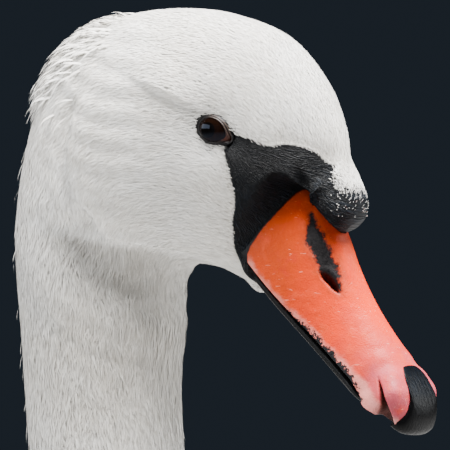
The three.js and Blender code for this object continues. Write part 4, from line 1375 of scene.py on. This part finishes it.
def flight_rows(sign, rng):
    """Long feathers of the folded wing: tertials and scapulars above, secondaries beside
    them, and the primaries' tips below and behind."""
    tracts = [  # count, arcs, root share, length, half width, low, rise
        (13, (0.08, 0.86), (0.66, 0.60), (165, 258), 14, -7.5, (4.2, 10.8)),
        (14, (0.08, 0.84), (0.45, 0.37), (190, 245), 20, -3.6, (2.2, 6.8)),
        (9, (0.62, 0.95), (0.42, 0.30), (215, 190), 24, -5.0, (8.0, 10.4)),
        (14, (0.38, 0.96), (0.38, 0.34), (105, 118), 21, -4.5, (5.6, 8.8)),
    ]
    parts = []
    for count, arcs, roots, lengths, half, low, rises in tracts:
        share = np.linspace(0, 1, count)
        arc = mix(*arcs, share) + rng.normal(0, 0.006, count)
        root = mix(*roots, share) + rng.normal(0, 0.006, count)
        parts.append(laid_feathers(
            WING_GROUND, root, arc, mix(*lengths, share), np.full(count, half),
            rng, kind="quill", swing=rng.normal(0, 0.02, count), low=low,
            rise=mix(*rises, share), crown=0.03, stations=22, columns=9,
            fray=0.004, mirror=sign < 0, last_share=0.975))
    return parts


def back_surface(share, side):
    """The back between the folded wings: as high as the wings' upper edges or the trunk,
    whichever is higher, and bowed down a little to both sides."""
    x = mix(WING_WRIST, WING_TIP, share)
    wing_top = keyed(WING_KEYS, share)[..., 0]
    trunk_top = np.interp(-x, -TRUNK_ROWS[:, 0], TRUNK_ROWS[:, 1])
    across = 1 - 2 * side
    return xyz(x, 36 * across, np.maximum(wing_top, trunk_top) + 2.0 - 3.0 * across ** 2)


def back_feathers(rng):
    """Long rounded feathers of the mantle and rump, in rows of three or four that cover the
    gap between the wings."""
    ground = Ground(back_surface, (0.1, 1.10), (0.0, 1.0), (120, 40))
    rows = 19
    share = np.repeat(np.linspace(0.15, 0.93, rows), 4) + rng.normal(0, 0.004, rows * 4)
    side = np.tile([0.22, 0.41, 0.60, 0.79], rows) + np.repeat(
        np.where(np.arange(rows) % 2, 0.0, -0.06), 4)
    size = mix(1.0, 0.8, share)
    count = rows * 4
    return [laid_feathers(
        ground, share, side + rng.normal(0, 0.02, count), 84 * size, 15.0 * size, rng,
        kind="vane", swing=rng.normal(0, 0.05, count) + 0.25 * (side - 0.5), low=-5.0,
        rise=8.0 + rng.uniform(-0.6, 0.6, count), crown=0.10, stations=10, columns=7,
        fray=0.01, last_share=0.95)]


def tail_face(share, side, up):
    """The tail's upper face (up is 1) or lower face (-1) over its length and from one edge
    (0) to the other (1)."""
    height, half, thick = tail_line(np.clip(share, 0, 0.995))
    across = (1 - 2 * side) * up
    bulge = np.sqrt(np.clip(1 - across ** 2, 0, 1))
    return xyz(mix(TAIL_ROOT, TAIL_TIP, share), across * half,
               height + up * thick * bulge - TAIL_BOW * across ** 2)


def tail_feathers(rng):
    """Two layers of long feathers that fan out from the rump to the tail's edge, a middle
    pair on top. Each runs straight from its root to its tip, with its sides level."""
    parts = []
    for layer, (count, drop) in enumerate(((12, 0.0), (10, 5.0))):
        side = np.linspace(-1, 1, count)
        root_x = -330.0
        root = xyz(root_x, 22 * side, 192 - drop)
        reach = 1 - 0.30 * np.abs(side) ** 1.6
        tip = xyz(mix(root_x, TAIL_TIP + 2, reach), 66 * side * reach ** 0.4,
                  210 - 0.8 * drop - 10 * side ** 2)
        tip[:, 2] += 2.0 * (1 - np.abs(side))
        stations, columns = 18, 9
        t = np.linspace(0, 1, stations)[None, :, None]
        s = np.linspace(-1, 1, columns)[None, None, :]
        ahead = unit(tip - root)[:, None, None, :]
        aside = np.array([0.0, 1.0, 0.0]) - ahead * ahead[..., 1:2]
        half = 13.5 * vane_outline("quill", np.clip(t, 0, 0.985))
        length = np.linalg.norm(tip - root, axis=-1)[:, None, None, None]
        line = root[:, None, None, :] + ahead * (t * np.ones_like(s))[..., None] * length
        lift = 6.6 * (1 - np.abs(side))[:, None, None] - 0.05 * half * s ** 2
        points = line + aside * (half * s)[..., None]
        points[..., 2] += lift * t + 2.4 * np.sin(np.pi * t)
        each = stations * columns
        quads = repeated(grid_faces(stations, columns), count, each)
        local = np.stack([np.broadcast_to(s * 0.5 + 0.5, (1, stations, columns)),
                          np.broadcast_to(t, (1, stations, columns))], axis=-1).reshape(1, -1, 2)
        centre = np.stack([0.5 + 0.4 * side, np.full(count, 0.3 + 0.3 * layer)], axis=-1)
        unwrap = centre[:, None, :] + 0.003 * (local - 0.5)
        tones = np.broadcast_to(rng.random(count)[:, None], (count, each))
        parts.append((points.reshape(count, each, 3), quads, np.zeros((0, 3), int),
                      (unwrap, np.broadcast_to(local, (count, each, 2)), tones)))
    for up in (1, -1):
        ground = Ground(lambda share, side: tail_face(share, side, up), (-0.1, 0.96),
                        (0.02, 0.98), (60, 60))
        coverts = 150
        share = rng.uniform(-0.06, 0.44, coverts)
        side = rng.uniform(0.10, 0.90, coverts)
        parts.append(laid_feathers(
            ground, share, side, 66 * rng.uniform(0.8, 1.2, coverts), np.full(coverts, 12.0),
            rng, kind="vane", low=-2.5, rise=7.0 + rng.uniform(-1.5, 1.5, coverts), crown=0.06,
            stations=6, columns=5, fray=0.02, last_share=0.94))
    return parts


def make_body_coat():
    """The feathers of trunk, wings and tail."""
    contour = vane_material("contour_feathers", 26.0, 0.00012, 0.10, 0.85)
    covert = vane_material("wing_coverts", 40.0, 0.00015, 0.25, 0.85)
    flight = vane_material("flight_feathers", 120.0, 0.00018, 0.5, 0.5)
    make_coat("coat_breast", [body_vanes((TRUNK_AT - 0.6, TRUNK_AT + 7), 4700, 21, (20, 34))],
              contour)
    make_coat("coat_flanks", [body_vanes((TRUNK_AT + 6.6, RUMP_AT), 4700, 22, (24, 42))],
              contour)
    for seed, (name, sign) in enumerate(SIDES, 31):
        rng = np.random.default_rng(seed)
        make_coat(f"coat_wing_{name}", wing_rows(sign, rng), covert)
        make_coat(f"coat_flight_{name}", flight_rows(sign, rng), flight)
    make_coat("coat_back", back_feathers(np.random.default_rng(35)), covert)
    make_coat("coat_tail", tail_feathers(np.random.default_rng(41)), flight)


# ------------------------------------------------------------------ bill

NOSTRIL_PATCH = np.array([
    [7.0, 21.2], [10.0, 18.2], [12.4, 15.6], [13.2, 14.9], [16.7, 14.1], [20.9, 12.9],
    [23.8, 11.6], [26.3, 11.0], [29.2, 10.9], [33.0, 11.4], [31.6, 12.8], [28.9, 14.5],
    [25.2, 16.3], [21.3, 17.8], [17.7, 19.0], [14.0, 20.0], [10.5, 20.8], [8.4, 21.6]])
NOSTRIL_HOLE = np.array([
    [23.4, 12.2], [24.6, 13.2], [27.2, 13.5], [30.0, 13.0], [32.2, 12.0], [31.0, 11.3],
    [27.8, 11.2], [25.2, 11.3]])
HOOK_SLIT = np.array([
    [62.0, 5.0], [65.8, 4.4], [68.6, 3.5], [71.6, 2.2], [74.4, 0.2], [77.0, -2.6],
    [78.0, -7.0], [70.8, -7.0], [70.4, -2.6], [69.4, 0.1], [66.5, 2.6], [63.7, 4.2]])
MOUTH_BLACK = np.array([
    [26.0, -3.2], [34.0, -2.2], [44.0, -1.4], [50.0, -0.9], [55.0, -0.8], [60.0, -2.0],
    [63.0, -3.6], [44.0, -8.0], [26.0, -8.0]])


def bill_surface(share, turn):
    """The upper bill: at each share of its length an arch of the ridge's height over an
    almost flat underside, narrower towards the ridge, least so beside the nail."""
    top, low, half, square = np.moveaxis(keyed(UPPER_BILL, share), -1, 0)
    angle = turn * 2 * np.pi
    up = power(np.sin(angle), square)
    narrowing = 0.22 - 0.15 * smooth(share, 0.74, 0.84) * smooth(share, 0.95, 0.89)
    side = power(np.cos(angle), square) * (1 - narrowing * np.maximum(up, 0)) * half
    height = np.where(up > 0, mix(low + 0.5, top, up), low + 0.5 + 0.5 * up)
    return share * BILL_LENGTH, height, side


def mandible_surface(share, turn):
    """The lower bill: a flat trough with upright sides, a rounded box in section."""
    top, low, half, square = np.moveaxis(keyed(LOWER_BILL, share), -1, 0)
    angle = turn * 2 * np.pi
    up = power(np.sin(angle), square)
    side = power(np.cos(angle), square) * half * (1 + 0.03 * up)
    return share * BILL_LENGTH, mix(low, top, 0.5 + 0.5 * up), side


def make_upper_bill():
    """The upper bill, with its nostrils sunk in, the slit beside the hook and a soft tip."""
    shares = np.concatenate([np.linspace(-0.03, 0.74, 120), np.linspace(0.745, 0.97, 60)])
    share, turn = grid(shares, round_turn(180))
    along, height, side = bill_surface(share, turn)
    flat = np.stack([along, height], axis=-1)
    patch, hole, slit, mouth = (
        outline_distance(flat, line) for line in (NOSTRIL_PATCH, NOSTRIL_HOLE, HOOK_SLIT,
                                                  MOUTH_BLACK))
    on_side = smooth(np.abs(side), 2.5, 5.0)
    base = along - np.interp(height, BASE_EDGE[:, 0], BASE_EDGE[:, 1])
    sunk = (0.5 * smooth(patch, 1.0, -1.0) + 2.6 * smooth(hole, 0.3, -0.8)
            + 3.6 * smooth(slit, 0.3, -1.0)) * on_side
    lip = 0.14 * np.exp(-((hole - 0.7) / 0.5) ** 2) * on_side
    ripple = 0.10 * np.sin(along * 0.9 + 2.0 * np.sin(height * 0.35)) * smooth(share, 0.55, 0.8)
    points = bill_point(along, height, side)
    middle = bill_point(along, 0.25 * height, 0.0)
    points = points + unit(middle - points) * (sunk - lip - ripple * on_side)[..., None]
    far = 9.0 * (1 - on_side)
    values = {"along": share, "nostril_edge": patch + far, "hole_edge": hole + far,
              "slit_edge": slit + far, "mouth_edge": mouth, "base_edge": base,
              "rim_edge": height + 2.3 - 2.8 * smooth(along, 28, 56)}
    bill = make_piece(
        "bill_upper_skin", *closed_loft(points), bill_material(), "orange_bill",
        values={name: with_ends(value[..., None]) for name, value in values.items()})
    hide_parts("bill_upper")


def make_lower_bill():
    """The lower mandible, a black trough edge under the mouth's line."""
    share, turn = grid(np.linspace(-0.03, 0.90, 120), round_turn(96))
    along, height, side = mandible_surface(share, turn)
    groove = 0.35 * np.exp(-((height - along * 0.004 + 5.3) / 0.35) ** 2)
    points = bill_point(along, height, side * (1 - 0.03 * groove))
    pale = smooth(np.abs(height + 6.3), 0.5, 0.2) * 0.6
    wear_and_sheen = np.append(pale.ravel(), [0, 0])
    horn = horn_material("mandible_black", (0.004, 0.004, 0.0045), (0.07, 0.055, 0.05),
                         0.42, (200.0, 900.0, 200.0))
    mandible = make_piece("bill_lower_horn", *closed_loft(points), horn, "black_horn",
                          values={"wear_and_sheen": wear_and_sheen})
    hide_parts("bill_lower")


# Share of the nail from its top to its lower rim: place along the bill and height in the
# middle, the same at its side edge, and the side edge's distance from the middle
NAIL_ROWS = [
    [0.00, 62.4, 9.9, 62.8, 9.7, 3.0],
    [0.05, 63.4, 10.3, 63.6, 9.8, 4.6],
    [0.20, 66.6, 10.0, 66.2, 9.4, 6.4],
    [0.42, 71.0, 8.8, 70.2, 8.1, 7.5],
    [0.60, 75.0, 7.0, 73.4, 6.8, 8.0],
    [0.76, 78.6, 3.8, 75.2, 3.0, 9.2],
    [0.90, 80.8, 0.0, 75.0, -0.8, 11.0],
    [0.97, 80.8, -2.2, 75.2, -2.9, 10.6],
    [1.00, 80.0, -2.8, 75.4, -3.4, 10.0],
]


def make_nail():
    """The nail: a horn shell over the bill's tip. Each cross-section is a quarter-round from
    the middle to both side edges, and an inner face closes it."""
    share, across = grid(np.linspace(0, 1, 70), np.linspace(-1, 1, 61))
    mid_along, mid_height, edge_along, edge_height, edge_side = np.moveaxis(
        keyed(NAIL_ROWS, share), -1, 0)
    bow = np.maximum(np.cos(across * np.pi / 2), 0) ** 0.62
    ridges = 0.02 * np.sin(across * 34) * smooth(share, 0.02, 0.2) * smooth(share, 0.8, 0.5)
    side = edge_side * np.sin(across * np.pi / 2)
    outer = bill_point(mix(edge_along, mid_along, bow) + ridges,
                       mix(edge_height, mid_height, bow) + 0.25 + ridges, side)
    core = bill_point(68.0, -1.0, 0.0)
    inner = outer + unit(core - outer) * (2.2 * np.sin(np.pi * share) ** 0.5
                                          * bow + 0.25)[..., None]
    rings = np.concatenate([outer, inner[:, ::-1]], axis=1)
    edge = smooth(np.abs(across), 0.93, 1.0)
    # Painted reflection: the nail's upper face, short of its side edges, is painted lighter and
    # bluer for the sky's reflection; a pale line also runs along its lower rim.
    wear_and_sheen = smooth(share, 0.66, 0.40) * (1 - edge) + 0.9 * smooth(share, 0.965, 0.99)
    wear_and_sheen = np.concatenate([wear_and_sheen, wear_and_sheen[:, ::-1]], axis=1)
    horn = horn_material("nail_horn", (0.0012, 0.0012, 0.0014), (0.0019, 0.0032, 0.0056),
                         0.34, (500.0, 1600.0, 500.0), 0.08)
    nail = make_piece("bill_nail_horn", *closed_loft(rings), horn, "black_horn",
                      values={"wear_and_sheen": np.append(wear_and_sheen.ravel(), [1, 0])})
    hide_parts("bill_nail")


# ------------------------------------------------------------------ eyes

def eyeball(sign):
    """A ball round the eye's axis with a slightly raised clear front."""
    ring, turn = grid(np.linspace(0.02, 1, 40) * np.pi * 0.98, round_turn(56))
    front = smooth(ring, 0.9, 0.2)
    radius = EYE_RADIUS + 0.35 * front
    x = EYE[0] + radius * np.sin(ring) * np.cos(turn * 2 * np.pi)
    z = EYE[1] + radius * np.sin(ring) * np.sin(turn * 2 * np.pi)
    y = sign * (EYE_SIDE - 0.2 + radius * np.cos(ring))
    axis = np.append((np.sin(ring) + 1.0 * (ring > np.pi / 2)).ravel(), [0, 2])
    return *closed_loft(xyz(x, y, z)), axis


def make_eyes():
    """Both eyeballs, each in its socket."""
    material = eye_material()
    for name, sign in SIDES:
        *mesh, axis = eyeball(sign)
        eye = make_piece(f"eyeball_{name}", *mesh, material, "eye",
                         values={"from_axis": axis})
        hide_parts(f"eye_{name}")


def make_lids():
    """Lids round each eye: rings in the shape of the opening, which climb from the eyeball
    over two thin ridges with a groove between them and end under the plush."""
    profile = [  # ring, height over the base, ridge colour
        [0.90, -0.7, 0.0], [0.99, 0.05, 0.1], [1.06, 0.40, 0.75], [1.13, 0.12, 0.05],
        [1.21, 0.36, 0.7], [1.30, 0.05, 0.1], [1.40, -0.5, 0.0], [1.60, -1.5, 0.0],
        [1.80, -2.4, 0.0]]
    ring, turn = grid(np.linspace(0.90, 1.80, 52), round_turn(120))
    angle = turn * 2 * np.pi
    height, ridge = np.moveaxis(keyed(profile, ring), -1, 0)
    corner = np.exp(-((np.mod(angle + np.pi, 2 * np.pi) - np.pi) / 0.40) ** 2)
    point_out = 1 + 0.20 * corner * smooth(ring, 0.90, 1.05) * smooth(ring, 1.7, 1.3)
    a, b = LID_LONG * ring * np.cos(angle) * point_out, LID_SHORT * ring * np.sin(angle)
    c, s = math.cos(LID_TILT), math.sin(LID_TILT)
    x, z = LID_CENTRE[0] + a * c - b * s, LID_CENTRE[1] + a * s + b * c
    dx, dz = x - EYE[0], z - EYE[1]
    upper = np.maximum(np.sin(angle), 0)
    ball = EYE_SIDE + np.sqrt(np.maximum(EYE_RADIUS ** 2 - dx ** 2 - dz ** 2, 4.0))
    head = outer_surface(*grid(np.linspace(HEAD_AT + 1.5, HEAD_AT + 6, 160),
                               np.linspace(-0.10, 0.12, 80)))
    near = np.hypot(head[..., 0] - EYE[0], head[..., 2] - EYE[1]) < 11
    hx, hz, hy = head[near][:, 0] - EYE[0], head[near][:, 2] - EYE[1], head[near][:, 1]

    def terms(p, q):
        """The terms of a smooth patch fitted to the head round the eye."""
        return np.stack([np.ones_like(p), p, q, p * p, p * q, q * q, p ** 3, q ** 3,
                         (p * p + q * q) ** 2], axis=-1)

    fit = np.linalg.lstsq(terms(hx, hz), hy, rcond=None)[0]
    face = terms(dx, dz) @ fit - 0.4
    base = mix(ball, face, smooth(ring, 0.98, 1.40))
    side = base + height * (1 + 0.25 * upper * smooth(ring, 1.1, 1.3))
    bulge = EYE_SIDE - 0.2 + np.sqrt(np.maximum((EYE_RADIUS + 0.1) ** 2 - dx ** 2 - dz ** 2, 0.0))
    side = np.maximum(side, (bulge + 0.16 + 0.5 * height) * smooth(ring, 0.98, 1.03))
    corner_mark = corner * smooth(ring, 1.25, 0.98)
    brow = smooth(np.cos(angle - 1.1), 0.1, 0.9)
    ridge_mark = ridge * (0.45 + 0.75 * brow)
    under = smooth(ring, 1.40, 1.48) * smooth(np.cos(angle), 0.90, 0.70)
    material = lid_material()
    for name, sign in SIDES:
        points = xyz(x, sign * side, z)
        quads = grid_faces(*points.shape[:2], closed=True)
        if sign > 0:
            quads = quads[:, ::-1]
        make_piece(f"eyelids_{name}", points, quads, np.zeros((0, 3), int), material,
                   "bare_skin", values={"ridge": ridge_mark, "corner": corner_mark,
                                        "under_plush": under})


# ------------------------------------------------------------------ legs and feet

FOOT_HEEL, FOOT_SIDE, TOE_LENGTH = -84.0, 98.0, 128.0
TOES = ((-0.30, 0.80), (0.05, 1.0), (0.38, 0.93))  # turn from straight ahead, length share


def web_height(turn, reach):
    """Height of a webbed foot over the floor: toes are round ridges with knuckles, and the
    web between them is thin and sags a little."""
    height = 1.6 + 0.1 * np.sin(reach * 40) ** 2
    for toe, share in TOES:
        beside = (turn - toe) * reach * TOE_LENGTH
        joint = 1 + 0.10 * np.cos(reach / share * 6 * np.pi)
        height = np.maximum(height, mix(9.5, 5.4, np.clip(reach / share, 0, 1)) * joint
                            * np.exp(-(beside / 5.2) ** 2))
    return height


def foot(sign):
    """A webbed foot as a fan from the heel: upper face by web_height, flat below, with a free
    edge that hangs in between the toes."""
    turn, reach = grid(np.linspace(-0.34, 0.42, 72), np.linspace(0.02, 1, 60))
    toes = np.array(TOES)
    edge = np.interp(turn, toes[:, 0], toes[:, 1])
    gap = np.minimum.reduce([np.abs(turn - toe) for toe in toes[:, 0]])
    edge = (edge - 0.55 * np.minimum(gap, 0.17)) * smooth(
        np.minimum(turn + 0.36, 0.44 - turn), -0.03, 0.03)
    far = reach * edge
    height = web_height(turn, far) * smooth(reach, 1.03, 0.94) * smooth(
        np.minimum(turn + 0.36, 0.44 - turn), -0.005, 0.04) + 0.6
    x = FOOT_HEEL + TOE_LENGTH * far * np.cos(turn)
    y = FOOT_SIDE + TOE_LENGTH * far * np.sin(turn)
    top, base = xyz(x, sign * y, height), xyz(x, sign * y, 0.0)
    return closed_loft(np.concatenate([top, base[:, ::-1]], axis=1))


def limb(start, end, radii, bumps):
    """A tapered round rod between two points, with low rings round it as on scaled skin."""
    start, end = np.asarray(start, float), np.asarray(end, float)
    ahead = unit(end - start)
    aside = unit(np.cross(ahead, [0, 0, 1.0]))
    up = np.cross(aside, ahead)
    t, turn = grid(np.linspace(0, 1, 40), 2 * np.pi * round_turn(28))
    radius = mix(*radii, t) * np.sqrt(np.maximum(1 - (2 * t - 1) ** 8, 0.02))
    radius = radius * (1 + bumps * np.sin(t * 60) ** 2)
    points = (start + (end - start) * t[..., None] + aside * (radius * np.cos(turn))[..., None]
              + up * (radius * np.sin(turn))[..., None])
    points[..., 2] = np.maximum(points[..., 2], 0)
    return closed_loft(points)


def claw(sign, toe):
    """A short curved claw: a cone bent down to the floor."""
    turn, share = toe
    t, angle = grid(np.linspace(0, 1, 20), 2 * np.pi * round_turn(16))
    radius = 2.6 * (1 - t) ** 0.7 + 0.25
    reach = TOE_LENGTH * share - 3.5 + 14.5 * t
    height = 3.0 + 1.0 * np.sin(np.pi * t) - 2.2 * t
    side = radius * np.cos(angle)
    x = FOOT_HEEL + reach * math.cos(turn) - side * math.sin(turn)
    y = FOOT_SIDE + reach * math.sin(turn) + side * math.cos(turn)
    z = np.maximum(height + radius * np.sin(angle), 0.05)
    return *closed_loft(xyz(x, sign * y, z)), np.append(1 - t.ravel(), [1, 0])


def make_legs():
    """Shanks, webbed feet and claws of both sides."""
    skin = leg_material()
    horn = horn_material("claw_horn", (0.012, 0.012, 0.012), (0.09, 0.08, 0.07), 0.35,
                         (400.0, 400.0, 400.0))
    for name, sign in SIDES:
        heel = (FOOT_HEEL + 2, sign * FOOT_SIDE, 14.1)
        hock = (FOOT_HEEL - 106, sign * (FOOT_SIDE - 16), 35.6)
        hind = (FOOT_HEEL - 26, sign * (FOOT_SIDE - 15), 3.4)
        hind_toe = limb((FOOT_HEEL + 3, sign * FOOT_SIDE, 6.2), hind, (4.6, 2.6), 0.05)
        *web_mesh, _ = joined([(*foot(sign), ()), (*hind_toe, ())])
        web = make_piece(f"webbed_foot_{name}", *web_mesh, skin, "leg_skin")
        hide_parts(f"foot_{name}")
        shank_mesh = limb(heel, hock, (6.6, 10.6), 0.04)
        shank = make_piece(f"shank_{name}", *shank_mesh, skin, "leg_skin")
        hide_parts(f"leg_{name}")
        for index, toe in enumerate(TOES, 1):
            *mesh, wear_and_sheen = claw(sign, toe)
            nail = make_piece(f"toe_claw_{index}_{name}", *mesh, horn, "black_horn",
                              values={"wear_and_sheen": wear_and_sheen})
            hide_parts(f"claw_{index}_{name}")


# ------------------------------------------------------------------ the swan

make_camera()
make_studio()
make_skin()
make_eyes()
make_lids()
make_upper_bill()
make_lower_bill()
make_nail()
make_head_and_neck_coat()
make_body_coat()
make_legs()
